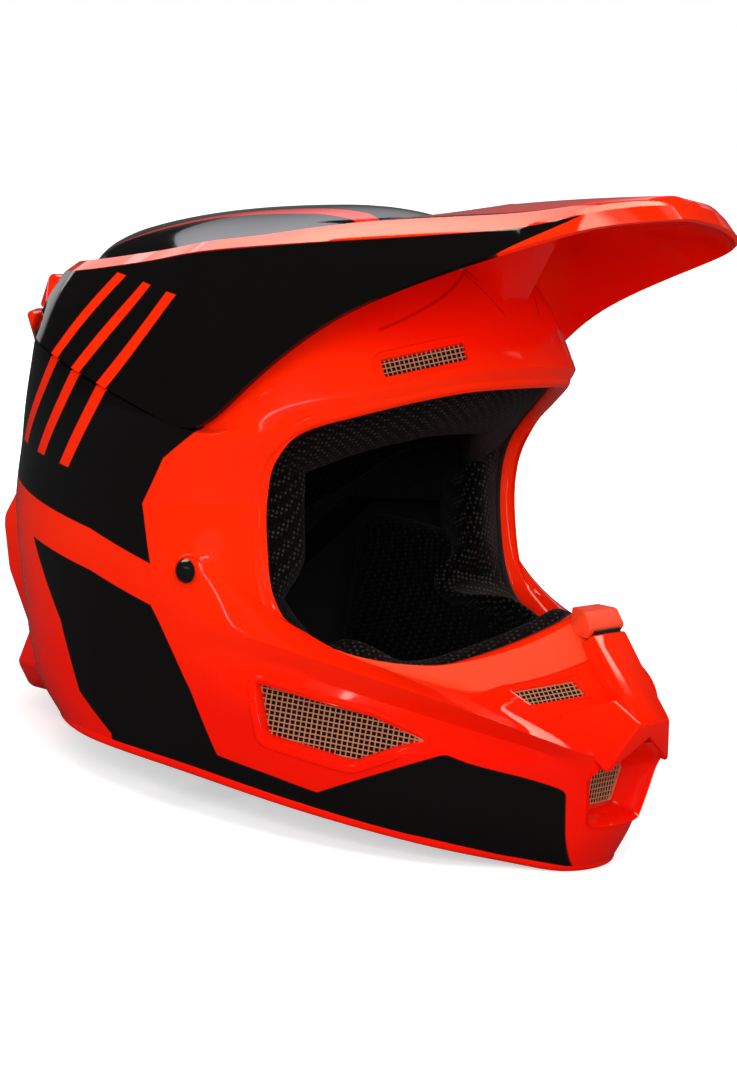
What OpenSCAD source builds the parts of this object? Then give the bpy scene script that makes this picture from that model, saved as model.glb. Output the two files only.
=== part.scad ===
// Motocross helmet, millimetres.
// X points to the front, Y to the wearer's left, Z up. The rim rests on z = 0.
// The shell is a loft through feature lines drawn for the left half, front middle to rear middle.

/* [Overall size] */
// Front of the mouth vent to the back of the rear spoiler
helmet_length = 364; // [320:1:440]
// Across the widest part of the shell
helmet_width = 254; // [220:1:310]
// Rim to the top of the visor tip
helmet_height = 303; // [250:1:360]

/* [Shell and visor] */
// Share of the distance to the middle that the shell wall takes
wall_share = 0.035; // [0.025:0.001:0.045]
// Thickness of the shell under the flat top of the chin bar
shelf_wall = 5; // [4:0.5:7]
// Thickness of the visor moulding
visor_wall = 2.6; // [2:0.1:3.5]
// Gap between the visor edge and the shell ledge
visor_gap = 0.8; // [0.4:0.1:1.5]
// Height of the rim trim
rim_trim_height = 4; // [3:0.5:6]
// Width of the rim trim
rim_trim_width = 5.5; // [4:0.5:8]
// Radius of the eyeport trim bead
eyeport_bead = 3; // [2:0.1:4]

/* [Vents] */
// Spacing of the wires in the vent meshes
mesh_pitch = 6; // [5:0.1:9]
// Width of a wire in the vent meshes
mesh_wire = 1.2; // [0.8:0.1:1.8]
// Thickness of the vent meshes
mesh_thick = 1.2; // [0.8:0.1:2]

/* [Strap and fasteners] */
// Diameter of a strap rivet head
rivet_head = 11; // [8:0.5:14]
// Diameter of a strap rivet shank
rivet_shank = 5; // [4:0.5:6]
// Height of the dome of a strap rivet
rivet_dome = 3.2; // [2:0.1:5]
// Width of the strap webbing
strap_width = 22; // [16:1:26]
// Thickness of the strap webbing
strap_thick = 1.6; // [1.2:0.1:2.2]
// Wire diameter of a D-ring
ring_wire = 4; // [3:0.2:5]
// Length of the straight bar of a D-ring
ring_bar = 30; // [28:1:36]
// Diameter of a visor magnet
magnet_d = 12; // [8:1:16]
// Height of a visor magnet
magnet_h = 1.6; // [1:0.1:2]

/* [Fits] */
// Clearance between pieces that only touch through their seat
clearance = 0.4; // [0.3:0.05:0.6]

/* [Hidden] */

// Scale of the drawn feature lines
kx = helmet_length / 364;
ky = helmet_width / 254;
kz = helmet_height / 303;
// Middle of the head space, the point that the layers shrink towards
core = [-15 * kx, 0, 117 * kz];
// Steps between two drawn points along a line, and between two lines
steps_along = 3;
steps_up = 2;

// Colours
orange = [0.95, 0.2, 0.03];
black = [0.05, 0.05, 0.05];
foam = [0.16, 0.16, 0.17];
cloth = [0.1, 0.1, 0.11];
bronze = [0.55, 0.36, 0.2];
steel = [0.6, 0.6, 0.62];

// Feature lines of the left half, from the front middle to the rear middle
line_rim = [
  [164, 0, 0], [159, 22, 0], [143, 44, 3], [118, 79, 9], [72, 107, 15],
  [15, 118, 19], [-45, 112, 18], [-83, 88, 17], [-104, 51, 12], [-118, 0, 0]
];
line_low = [
  [171, 0, 18], [166, 22, 17], [148, 45, 21], [122, 83, 27], [75, 111, 33],
  [15, 122, 38], [-48, 117, 37], [-95, 93, 33], [-126, 54, 28], [-139, 0, 22]
];
line_panel = [
  [175, 0, 37], [171, 23, 41], [153, 46, 49], [127, 84, 50], [78, 113, 53],
  [15, 125, 63], [-54, 119, 63], [-105, 94, 59], [-139, 51, 57], [-151, 0, 55]
];
line_under = [
  [176, 0, 51], [172, 26, 51], [151, 46, 57], [120, 79, 66], [74, 106, 74],
  [12, 126, 81], [-57, 120, 83], [-112, 95, 83], [-151, 51, 85], [-164, 0, 86]
];
line_ridge = [
  [176, 0, 63], [174, 25, 57], [158, 48, 63], [129, 83, 75], [75, 110, 84],
  [10, 127, 91], [-60, 120, 97], [-115, 95, 101], [-158, 51, 104], [-172, 0, 106]
];
line_shelf = [
  [160, 0, 87], [151, 30, 81], [132, 56, 77], [98, 81, 82], [54, 100, 93],
  [5, 127, 111], [-62, 119, 115], [-117, 94, 119], [-159, 51, 121], [-173, 0, 122]
];
line_port_low = [
  [138, 0, 113], [124, 34, 97], [100, 66, 85], [70, 91, 86], [40, 101, 98],
  [-2, 126, 125], [-64, 118, 129], [-118, 93, 133], [-158, 52, 135], [-173, 0, 135]
];
line_middle = [
  [116, 0, 157], [107, 36, 153], [86, 65, 149], [56, 88, 145], [24, 102, 145],
  [-6, 125, 145], [-65, 118, 149], [-118, 94, 153], [-157, 55, 155], [-173, 0, 155]
];
line_seam = [
  [91, 0, 207], [85, 36, 205], [72, 57, 199], [54, 79, 189], [34, 101, 178],
  [0, 126, 171], [-60, 118, 178], [-112, 95, 183], [-155, 58, 186], [-173, 0, 188]
];
line_ledge = [
  [95, 0, 217], [89, 36, 215], [76, 58, 209], [57, 80, 199], [31, 103, 186],
  [0, 120, 172], [-59, 112, 179], [-109, 90, 184], [-151, 54, 187], [-169, 0, 189]
];
line_upper = [
  [78, 0, 241], [74, 32, 239], [62, 54, 234], [46, 76, 224], [22, 97, 213],
  [-8, 103, 211], [-64, 94, 207], [-111, 77, 203], [-147, 47, 200], [-164, 0, 201]
];
line_shoulder = [
  [64, 0, 256], [60, 28, 254], [50, 48, 250], [36, 67, 248], [13, 82, 248],
  [-16, 86, 246], [-70, 77, 230], [-110, 62, 218], [-145, 40, 211], [-162, 0, 213]
];
line_crown = [
  [52, 0, 262], [48, 20, 263], [40, 34, 264], [27, 44, 266], [6, 50, 267],
  [-20, 51, 265], [-68, 48, 254], [-108, 40, 241], [-143, 26, 229], [-163, 0, 222]
];
line_spine = [
  [46, 0, 265], [40, 0, 268], [32, 0, 271], [20, 0, 274], [2, 0, 275],
  [-25, 0, 272], [-66, 0, 264], [-105, 0, 254], [-140, 0, 241], [-163, 0, 227]
];
// Line along the open bottom that closes the loft
line_keel = [for (p = line_rim) [p[0], 0, p[2]]];

// Side wing crease of the visor over the same rear columns as the seam
wing_crease = [
  [-14, 93, 252], [-70, 83, 236], [-114, 70, 224], [-150, 48, 216], [-168, 0, 214]
];

// Visor lines, from the tip to the corner of the wing
brim_edge = [
  [157, 0, 296], [153, 22, 294], [146, 56, 290], [134, 91, 280], [95, 102, 259],
  [51, 109, 232], [20, 118, 199]
];
brim_crease = [
  [153, 0, 301], [149, 24, 300], [141, 58, 295], [128, 86, 286], [90, 94, 276],
  [51, 95, 267], [20, 95, 260]
];
brim_top = [
  [150, 0, 303], [146, 25, 302], [137, 57, 298], [121, 80, 291], [86, 87, 283],
  [50, 88, 275], [20, 88, 267]
];
brim_roof = [
  [147, 0, 303], [135, 0, 301], [115, 0, 298], [92, 0, 294], [68, 0, 288],
  [44, 0, 279], [22, 48, 272]
];

// Eyeport outline seen from the front, left half, top middle to bottom middle
port_outline = [
  [0, 207], [36, 205], [57, 199], [79, 189], [96, 179], [102, 165], [102, 147],
  [102, 125], [102, 104], [98, 88], [85, 83], [65, 84], [50, 88], [34, 97],
  [15, 107], [0, 113]
];
// The same outline on the shell, for the bead
port_line = [
  [91, 0, 207], [85, 36, 205], [72, 57, 199], [54, 79, 189], [38, 97, 179], [25, 102, 165], [23, 102, 147],
  [27, 102, 125], [35, 102, 104], [52, 98, 88], [80, 85, 83], [102, 65, 84], [112, 50, 88], [124, 33, 97],
  [134, 15, 107], [138, 0, 113]
];
// Side vent outline seen from the side
vent_outline = [[46, 69], [54, 44], [93, 40], [121, 57], [98, 64]];

function g(p) = [p[0] * kx, p[1] * ky, p[2] * kz];
function flip(p) = [p[0], -p[1], p[2]];
function mix(a, b, t) = a + (b - a) * t;
function curve(a, b, c, d, t) =
  0.5 * (2 * b + (c - a) * t + (2 * a - 5 * b + 4 * c - d) * t * t + (3 * b - a - 3 * c + d) * t * t * t);

// Point on a line that crosses the middle plane squarely at both ends
function along(l, s) =
  let (n = len(l) - 1, i = min(floor(s), n - 1))
  curve(i > 0 ? l[i - 1] : flip(l[1]), l[i], l[i + 1], i + 2 <= n ? l[i + 2] : flip(l[n - 1]), s - i);

// Point on a line with free ends
function free_along(l, s) =
  let (n = len(l) - 1, i = min(floor(s), n - 1), a = l[i], b = l[i + 1])
  curve(i > 0 ? l[i - 1] : 2 * a - b, a, b, i + 2 <= n ? l[i + 2] : 2 * b - a, s - i);

// Points of one column up through a patch of lines, without the last point
function up_patch(lines, s, steps) =
  let (col = [for (l = lines) along(l, s)], n = len(col) - 1)
  [for (i = [0:n * steps - 1]) n == 1 ? mix(col[0], col[1], i / steps) : free_along(col, i / steps)];

// The flat top of the chin bar lowered by d, so that a layer inside keeps its distance there too
function sunk(l, d) = [for (j = [0:len(l) - 1]) l[j] - [0, 0, j < 4 ? d : j == 4 ? d / 2 : 0]];
function patches(d) = [
  [line_rim, line_low, line_panel], [line_panel, sunk(line_under, d)], [sunk(line_under, d), sunk(line_ridge, d)],
  [sunk(line_ridge, d), sunk(line_shelf, d), sunk(line_port_low, d), line_middle, line_seam],
  [line_seam, line_ledge], [line_ledge, line_upper, line_shoulder, line_crown, line_spine]
];

// One column of the shell surface at station s, bottom to top
function shell_column(s, fine, d) = [
  along(line_keel, s),
  for (p = patches(d)) each up_patch(p, s, len(p) == 2 || !fine ? 1 : steps_up),
  along(line_spine, s)
];

// Closed surface of the shell, shrunk towards the core to the share k, its shelf sunk and its bottom dropped.
module shell_form(k = 1, fine = true, drop = 0, sink = 0) {
  n = (len(line_rim) - 1) * (fine ? steps_along : 2);
  step = fine ? steps_along : 2;
  cols = [for (j = [0:n]) shell_column(j / step, fine, sink)];
  m = len(cols[0]);
  ring = 2 * n;
  function turn(j) = j <= n ? j : ring - j;
  function id(i, j) = let (jj = j % ring) i * ring + (i == 0 || i == m - 1 ? turn(jj) : jj);
  points = [
    for (i = [0:m - 1]) for (j = [0:ring - 1])
      let (p = g(cols[turn(j)][i]), q = core + (p - core) * k)
      [q[0], j > n ? -q[1] : q[1], i < 2 ? q[2] - drop : q[2]]
  ];
  faces = [
    for (i = [0:m - 2]) for (j = [0:ring - 1])
      let (a = id(i, j), b = id(i, j + 1), c = id(i + 1, j + 1), d = id(i + 1, j))
      each j < n ? [[a, d, c], [a, c, b]] : [[a, d, b], [d, c, b]]
  ];
  polyhedron(points, [for (f = faces) if (f[0] != f[1] && f[1] != f[2] && f[0] != f[2]) f], convexity = 8);
}

// Inner face of the shell, and the outer face of the layers inside it
module inner_form() {
  shell_form(1 - wall_share, false, 30, shelf_wall);
}
module liner_form() {
  shell_form(1 - liner_share, false, 30, shelf_wall + 2);
}

// Point of the shell surface at station s between two lines
function on_shell(a, b, s, t) = g(mix(along(a, s), along(b, s), t));

// A piece that is moulded as one body
module moulded() {
  resize([0, 0, 0]) children();
}

// Both halves of a piece drawn on the left
module both_sides() {
  children();
  mirror([0, 1, 0]) children();
}

// Convex block through corners drawn for the left half
module corner_block(corners) {
  hull() for (p = corners) for (y = [-1, 1]) translate(g([p[0], p[1] * y, p[2]])) cube(0.02, center = true);
}

// Outline of the side view, extruded across the whole width
module side_prism(outline, wide = 300) {
  rotate([90, 0, 0])
    linear_extrude(wide, center = true)
      polygon([for (p = outline) [p[0] * kx, p[1] * kz]]);
}

// Outline of the front view, both halves, extruded forward
module front_prism(half, from, to) {
  n = len(half) * 3 - 3;
  pts = [for (i = [0:n]) let (p = free_along(half, i / 3)) [p[0] * ky, p[1] * kz]];
  translate([from * kx, 0, 0])
    rotate([90, 0, 90])
      linear_extrude((to - from) * kx)
        polygon(concat(pts, [for (i = [n - 1:-1:1]) [-pts[i][0], pts[i][1]]]));
}

// Closed bead of round section along a list of points
module bead(path, r, sides = 8) {
  n = len(path);
  function dir(i) = let (d = path[(i + 1) % n] - path[(i + n - 1) % n]) d / norm(d);
  function out(i) = let (v = path[i] - core, t = dir(i), w = v - (v * t) * t) w / norm(w);
  points = [
    for (i = [0:n - 1]) for (k = [0:sides - 1])
      let (o = out(i), s = cross(dir(i), o))
      path[i] + r * (cos(360 * k / sides) * o + sin(360 * k / sides) * s)
  ];
  faces = [
    for (i = [0:n - 1]) for (k = [0:sides - 1])
      let (a = i * sides + k, b = i * sides + (k + 1) % sides,
        d = ((i + 1) % n) * sides + k, c = ((i + 1) % n) * sides + (k + 1) % sides)
      each [[a, c, b], [a, d, c]]
  ];
  polyhedron(points, faces, convexity = 6);
}

// Band or bar of any section swept along an open list of points, with its frame given at each point
module sweep(sections) {
  n = len(sections);
  m = len(sections[0]);
  points = [for (s = sections) each s];
  faces = concat(
    [[for (k = [m - 1:-1:0]) k]],
    [for (i = [0:n - 2]) for (k = [0:m - 1])
      let (a = i * m + k, b = i * m + (k + 1) % m, c = b + m, d = a + m)
      each [[a, b, c], [a, c, d]]],
    [[for (k = [0:m - 1]) (n - 1) * m + k]]
  );
  polyhedron(points, faces, convexity = 6);
}

// Both halves of the eyeport line as one closed loop
port_loop = let (n = (len(port_line) - 1) * 2,
  half = [for (i = [0:n]) g(along(port_line, i / 2))])
  concat(half, [for (i = [n - 1:-1:1]) flip(half[i])]);

// Flat net with square gaps, drawn in its own plane
module net(outline, pitch, border = 1.6) {
  xs = [for (p = outline) p[0]];
  ys = [for (p = outline) p[1]];
  gap = pitch - mesh_wire;
  linear_extrude(mesh_thick)
    difference() {
      polygon(outline);
      intersection() {
        offset(delta = -border) polygon(outline);
        for (x = [min(xs):pitch:max(xs)]) for (y = [min(ys):pitch:max(ys)])
          translate([x, y]) square(gap);
      }
    }
}

// Places the children on a plane: x along u, z along the outward direction n
module frame_at(p, u, n) {
  a = u / norm(u);
  w = n - (n * a) * a;
  c = w / norm(w);
  b = cross(c, a);
  multmatrix([
    [a[0], b[0], c[0], p[0]],
    [a[1], b[1], c[1], p[1]],
    [a[2], b[2], c[2], p[2]],
    [0, 0, 0, 1]
  ])
    children();
}

// Left side vent: its plane stands upright and follows the chin bar
vent_from = g([46, 121, 0]);
vent_dir = g([75, -29, 0]);
vent_out = [-vent_dir[1], vent_dir[0], 0];
vent_flat = [for (p = vent_outline) [(46 - p[0]) * norm(vent_dir) / 75, p[1] * kz]];
vent_depth = 6;
module on_side_vent(depth) {
  frame_at(vent_from, -vent_dir, vent_out) translate([0, 0, -depth]) children();
}

// Left brow vent on the forehead
brow_size = [40, 9];
brow_at = on_shell(line_ledge, line_upper, 2.1, 0.36);
brow_dir = on_shell(line_ledge, line_upper, 2.6, 0.36) - on_shell(line_ledge, line_upper, 1.6, 0.36);
brow_up = on_shell(line_ledge, line_upper, 2.1, 0.64) - brow_at;
brow_out = cross(brow_dir, brow_up);
brow_depth = 4;
module on_brow_vent(depth) {
  frame_at(brow_at, brow_dir, brow_out) translate([0, 0, -depth]) children();
}

// Left upper mouth vent on the shelf of the chin bar
slot_size = [36, 10];
slot_at = on_shell(line_shelf, line_port_low, 1.15, 0.1);
slot_dir = on_shell(line_shelf, line_port_low, 1.6, 0.1) - on_shell(line_shelf, line_port_low, 0.7, 0.1);
slot_up = on_shell(line_shelf, line_port_low, 1.15, 0.35) - slot_at;
slot_out = cross(slot_dir, slot_up);
slot_depth = 3;
module on_slot(depth) {
  frame_at(slot_at, slot_dir, slot_out) translate([0, 0, -depth]) children();
}

// Mouth opening seen from the front
mouth_outline = [[-28, 47], [-25, 52], [25, 52], [28, 47], [21, 24], [-21, 24]];
mouth_flat = [for (p = mouth_outline) [p[0] * ky, p[1] * kz]];
module mouth_prism(from, to, grow = 0) {
  translate([from * kx, 0, 0])
    rotate([90, 0, 90])
      linear_extrude((to - from) * kx)
        offset(delta = grow) polygon(mouth_flat);
}

// Duct that leads from the mouth opening back to its net
duct_back = 150;
duct_wall = 2;
duct_share = 0.62;
mouth_z = 38 * kz;
module duct_form(grow) {
  function ring_pts(x, k) = [for (p = mouth_flat) [x * kx, p[0] * k, mix(mouth_z, p[1], k)]];
  m = len(mouth_flat);
  points = concat(
    ring_pts(duct_back, duct_share + grow), ring_pts(166, 0.985 + grow), ring_pts(180, 0.985 + grow)
  );
  faces = concat(
    [[for (i = [m - 1:-1:0]) i]],
    [for (k = [0, m]) for (i = [0:m - 1]) let (b = (i + 1) % m) [i + k, b + k, b + k + m, i + k + m]],
    [[for (i = [0:m - 1]) i + 2 * m]]
  );
  polyhedron(points, faces);
}

// Strap rivet place on the left side, on the outer face and on the inner face
rivet_at = g([6, 127, 110]);
inner_y = rivet_at[1] * (1 - wall_share) - 9;
washer_h = 1.5;
strap_y = inner_y - 3 * clearance - washer_h - strap_thick / 2;

// Share to which the layers inside the shell shrink
liner_share = wall_share + 0.007;

// Visor grid: rows from the lower edge to the roof, columns from the tip to the wing end
wing_stations = [5, 5.5, 6, 6.5, 7, 7.5, 8];
wing_edge = [for (s = wing_stations) along(line_seam, s) + [0, 0.8, visor_gap / kz + 2]];
wing_fold = [for (s = wing_stations) along(wing_crease, s - 5)];
row_edge = concat(brim_edge, wing_edge);
row_crease = concat(brim_crease, wing_fold);
row_top = concat(brim_top, [for (p = wing_fold) p + [2, -7.5, 5.5]]);
row_roof = concat(brim_roof, [for (p = wing_fold) p + [3, -12, 5.8]]);
function visor_column(s) =
  let (e = free_along(row_edge, s), c = free_along(row_crease, s), t = free_along(row_top, s),
    r = free_along(row_roof, s), bulge = min(1, max(0, (s - 3) / 3)) * [0, 2.6, 1.2])
  [e, mix(e, c, 0.5) + bulge, c, t, mix(t, r, 0.5) + [0, 0, s < 6 ? 2.5 * (1 - s / 6) : 0], r];
visor_cols = let (n = (len(row_edge) - 1) * 2)
  [for (j = [0:n]) [for (p = visor_column(j / 2)) g(p)]];
function visor_normal(j, i) =
  let (n = len(visor_cols) - 1, m = len(visor_cols[0]) - 1,
    a = visor_cols[min(j + 1, n)][i] - visor_cols[max(j - 1, 0)][i],
    b = visor_cols[j][min(i + 1, m)] - visor_cols[j][max(i - 1, 0)], c = cross(a, b))
  c / norm(c);
// Points of the middle plane reach a little past it, so that the two halves join
function to_middle(p, q) = abs(p[1]) < 0.01 ? [q[0], -0.05, q[2]] : q;

module visor_half(depth_a, depth_b) {
  n = len(visor_cols);
  m = len(visor_cols[0]);
  function skin(d) = [
    for (j = [0:n - 1]) for (i = [0:m - 1])
      let (p = visor_cols[j][i]) to_middle(p, p - d * visor_normal(j, i))
  ];
  points = concat(skin(depth_a), skin(depth_b));
  k = n * m;
  function id(j, i) = j * m + i;
  faces = concat(
    [for (j = [0:n - 2]) for (i = [0:m - 2])
      each [[id(j, i), id(j, i + 1), id(j + 1, i + 1)], [id(j, i), id(j + 1, i + 1), id(j + 1, i)],
        [k + id(j, i), k + id(j + 1, i + 1), k + id(j, i + 1)],
        [k + id(j, i), k + id(j + 1, i), k + id(j + 1, i + 1)]]],
    [for (j = [0:n - 2])
      each [[id(j, 0), id(j + 1, 0), k + id(j + 1, 0)], [id(j, 0), k + id(j + 1, 0), k + id(j, 0)],
        [id(j, m - 1), k + id(j + 1, m - 1), id(j + 1, m - 1)],
        [id(j, m - 1), k + id(j, m - 1), k + id(j + 1, m - 1)]]],
    [for (i = [0:m - 2])
      each [[id(0, i), k + id(0, i + 1), id(0, i + 1)], [id(0, i), k + id(0, i), k + id(0, i + 1)],
        [id(n - 1, i), id(n - 1, i + 1), k + id(n - 1, i + 1)],
        [id(n - 1, i), k + id(n - 1, i + 1), k + id(n - 1, i)]]]
  );
  polyhedron(points, faces, convexity = 8);
}

// Wing magnets of the visor, on the inner face of the wing
magnet_col = 17;
magnet_out = visor_normal(magnet_col, 1);
magnet_from = visor_cols[magnet_col][1];
module on_wing(depth) {
  frame_at(magnet_from, visor_cols[magnet_col + 1][1] - visor_cols[magnet_col - 1][1], magnet_out)
    translate([0, 0, -depth]) children();
}
magnet_depth = visor_wall + 3 * clearance + magnet_h;
plate_h = 1;
plate_depth = magnet_depth + clearance + plate_h;

// D-ring bars, stacked in the loop of the short strap
ring_at = g([6, 50, 0]);
ring_low_z = 9;
ring_rise = ring_wire + 2;
ring_reach = 20;
loop_wall = 1.2;
loop_bore = ring_wire / 2 + clearance;

module outer_shell() {
  color(orange)
    moulded()
      difference() {
        shell_form();
        inner_form();
        front_prism(port_outline, 18, 260);
        bead(port_loop, eyeport_bead + clearance);
        rim_band(rim_trim_height + 2 * clearance, 40, -30, 20);
        both_sides() on_side_vent(40) linear_extrude(70) polygon(vent_flat);
        both_sides() on_brow_vent(25) linear_extrude(50) square(brow_size, center = true);
        both_sides() on_slot(15) linear_extrude(30) square(slot_size, center = true);
        mouth_prism(130, 200);
        both_sides() rivet_bore();
        both_sides() on_wing(plate_depth + clearance) cylinder(h = 12, d = magnet_d + 2, $fn = 24);
      }
}

module rivet_bore() {
  translate([rivet_at[0], rivet_at[1] - 15, rivet_at[2]])
    rotate([-90, 0, 0])
      cylinder(h = 30, d = rivet_shank + 2 * clearance, $fn = 24);
}

// Band that follows the rim: height above it, width to the inside and outside, depth below it
rim_half = [for (j = [0:27]) g(along(line_rim, j / 3))];
rim_loop = concat(rim_half, [for (j = [26:-1:1]) flip(rim_half[j])]);
function rim_side(i) =
  let (n = len(rim_loop), d = rim_loop[(i + 1) % n] - rim_loop[(i + n - 1) % n], h = [d[1], -d[0], 0])
  h / norm(h);
module rim_band(high, wide, low = 0, inset = 0) {
  n = len(rim_loop);
  sections = [
    for (i = [0:n - 1])
      let (p = rim_loop[i], s = rim_side(i), a = p - s * inset, b = p - s * (inset - wide), z = [0, 0, 1])
      each [
        [a[0], a[1], max(low < 0 ? low : 0, a[2] + low)], [b[0], b[1], max(low < 0 ? low : 0, b[2] + low)],
        b + z * high, a + z * high
      ]
  ];
  faces = [
    for (i = [0:n - 1]) for (k = [0:3])
      let (a = i * 4 + k, b = i * 4 + (k + 1) % 4, d = ((i + 1) % n) * 4 + k, c = ((i + 1) % n) * 4 + (k + 1) % 4)
      each [[a, b, c], [a, c, d]]
  ];
  polyhedron(sections, faces, convexity = 6);
}

module rim_trim() {
  color(black) moulded() rim_band(rim_trim_height, rim_trim_width, 0, rim_trim_width - 1);
}

module eyeport_trim() {
  color(black) bead(port_loop, eyeport_bead);
}

// Head space, with the comfort liner taken off by the share of its thickness
head_at = g([-28, 0, 149]);
head_half = g([107, 87, 88]);
module head_space(less = 0) {
  translate(head_at)
    scale([head_half[0] - less, head_half[1] - less, head_half[2] - less])
      sphere(1, $fn = 28);
  translate([head_at[0], 0, head_at[2] - 150 * kz])
    scale([head_half[0] - less, head_half[1] - less, 1])
      cylinder(h = 150 * kz - 3 * less, r = 1, $fn = 28);
}

liner_outline = [
  [74, 221], [40, 199], [16, 183], [4, 157], [-4, 129], [-60, 119], [-105, 53], [-190, 47], [-190, 287], [60, 287]
];
module impact_liner() {
  color(foam)
    moulded()
      difference() {
        intersection() {
          liner_form();
          side_prism(liner_outline);
        }
        head_space();
        bead(port_loop, eyeport_bead + 3);
      }
}

pad_outline = [
  [60, 215], [36, 197], [12, 181], [0, 157], [-10, 133], [-64, 123], [-108, 59], [-180, 59], [-180, 287], [60, 287]
];
module crown_pad() {
  color(cloth)
    moulded()
      difference() {
        intersection() {
          head_space(clearance);
          side_prism(pad_outline);
        }
        head_space(10);
        for (y = [-42, 0, 42])
          translate([-220 * kx, y * ky - 4, 157 * kz]) cube([250 * kx, 8, 200]);
        translate([-30 * kx, -150, 157 * kz]) cube([8, 300, 200]);
      }
}

cheek_balls = [
  [-34, 84, 105, 15], [2, 86, 105, 15], [40, 84, 69, 14], [62, 76, 61, 12],
  [58, 78, 47, 12], [-34, 84, 49, 15], [-10, 100, 77, 16], [28, 98, 65, 16]
];
module cheek_pad() {
  moulded()
    difference() {
      intersection() {
        liner_form();
        hull() {
          for (b = cheek_balls) translate(g([b[0], b[1], b[2]])) sphere(b[3] * ky, $fn = 20);
          for (b = cheek_balls) translate(g([b[0], b[1] + 24, b[2]])) sphere(b[3] * ky, $fn = 12);
        }
      }
      translate([rivet_at[0], 0, 0])
        rotate([90, 0, 90])
          linear_extrude(strap_width + 4, center = true)
            polygon([for (p = [[strap_y / ky - 2.6, 150], [strap_y / ky - 2.6, 73], [strap_y / ky - 7, 45],
              [92, 17], [150, 17], [150, 150]]) [p[0] * ky, p[1] * kz]]);
      on_side_vent(vent_depth + mesh_thick + 1) linear_extrude(30) offset(delta = 2) polygon(vent_flat);
      impact_room();
      bead(port_loop, eyeport_bead + 2 * clearance);
      for (x = [-8, 30])
        translate([x * kx - 2.5, 40 * ky, 37 * kz]) cube([5, 34 * ky, 100 * kz]);
    }
}

// Room that the impact liner takes, with clearance
module impact_room() {
  intersection() {
    side_prism([for (p = liner_outline) p + [p[0] > -100 ? 2 : 0, -2]]);
    translate([-300, 0, 107 * kz]) cube([600, 300, 300]);
  }
}

module cheek_pad_left() {
  color(cloth) cheek_pad();
}

module cheek_pad_right() {
  color(cloth) mirror([0, 1, 0]) cheek_pad();
}

// Round roll swept along an open path
module roll(path, r, sides = 10) {
  n = len(path);
  function dir(i) = let (d = path[min(i + 1, n - 1)] - path[max(i - 1, 0)]) d / norm(d);
  sweep([
    for (i = [0:n - 1])
      let (t = dir(i), a = cross(t, [0, 0, 1]), s = a / norm(a), u = cross(s, t))
      [for (k = [0:sides - 1]) path[i] + r * (cos(360 * k / sides) * s + sin(360 * k / sides) * u)]
  ]);
}

neck_r = 9;
neck_share = 1 - wall_share - (neck_r + 0.7) / 125;
module neck_roll() {
  half = [
    for (i = [0:14])
      let (p = on_shell(line_rim, line_low, 9 - i * 2.5 / 14, 0.85), q = core + (p - core) * neck_share)
      [q[0], q[1], p[2] + 4]
  ];
  path = concat([for (i = [14:-1:1]) half[i]], [for (p = half) flip(p)]);
  color(cloth) roll(path, neck_r);
}

module chin_liner() {
  color(foam)
    moulded()
      difference() {
        intersection() {
          shell_form(1 - liner_share - 0.011, false, 30, shelf_wall + 3);
          side_prism([[88, 21], [190, 10], [190, 69], [130, 77], [88, 73]]);
        }
        translate([-26, 0, 0]) scale([0.98, 0.9, 1.2]) liner_form();
        mouth_prism(100, 200, 3);
        both_sides() on_side_vent(60) linear_extrude(90) offset(delta = 2) polygon(vent_flat);
        both_sides() on_slot(40) linear_extrude(60) square(slot_size + [4, 4], center = true);
      }
}

module visor() {
  color(black) moulded() both_sides() visor_half(0, visor_wall);
}

mount_low = [[74, 10, 243], [60, 22, 255]];
mount_high = [[81, 26, 287], [54, 15, 275]];
module visor_mount() {
  color(orange)
    moulded()
      difference() {
        corner_block(concat(mount_low, mount_high));
        shell_form(1.006);
        both_sides() visor_half(-6, visor_wall + clearance);
      }
}

module visor_magnets() {
  color(steel) both_sides() on_wing(magnet_depth) cylinder(h = magnet_h, d = magnet_d, $fn = 64);
}

module magnet_plates() {
  color(steel) both_sides() on_wing(plate_depth) cylinder(h = plate_h, d = magnet_d, $fn = 64);
}

guard_t = 2.2;
// How far the lower edge of the guard reaches down the shelf, from the middle to its end
guard_low = [[0, 0.6], [0.5, 0.64], [0.62, 0.82], [0.73, 0.95], [0.85, 0.55], [1, 0.02]];
// Raised block in the middle of the nose guard
guard_block = [[136, 11, 116], [145, 14, 116], [150, 15, 108], [138, 13, 106], [148, 13, 104]];
module nose_guard() {
  n = 14;
  function low(i) = on_shell(line_port_low, line_shelf, 3.3 * i / n, lookup(i / n, guard_low));
  function high(i) = let (s = 3.3 * i / n) on_shell(line_port_low, line_shelf, s, 0.06);
  lift = [0.45, 0.1, 0.85];
  half = [
    for (i = [0:n])
      let (a = high(i), b = low(i), o = lift * 0.9, u = lift * (0.9 + guard_t),
        m = mix(a, b, 0.5) + lift * 1.2)
      [a + u, m + u, b + u, b + o, m + o, a + o]
  ];
  color(orange)
    moulded()
      difference() {
        union() {
          sweep([for (i = [0:2 * n]) i < n ? half[n - i] : [for (p = half[i - n]) flip(p)]]);
          corner_block(guard_block);
        }
        shell_form(1.003);
        bead(port_loop, eyeport_bead + clearance);
      }
}

// Ridge of the beak, and the facets at its sides
beak_ridge = [[152, 14, 108], [182, 13, 73], [141, 12, 99], [166, 10, 59]];
beak_sides = [[182, 13, 73], [169, 19, 82], [153, 40, 72], [178, 26, 58], [170, 24, 57], [150, 18, 66]];
module mouth_vent() {
  color(orange)
    moulded()
      difference() {
        for (part = [beak_ridge, beak_sides]) corner_block(part);
        shell_form(1.006);
        both_sides() on_slot(4) linear_extrude(30) square(slot_size + [2, 2], center = true);
        guard_room();
      }
}

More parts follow.
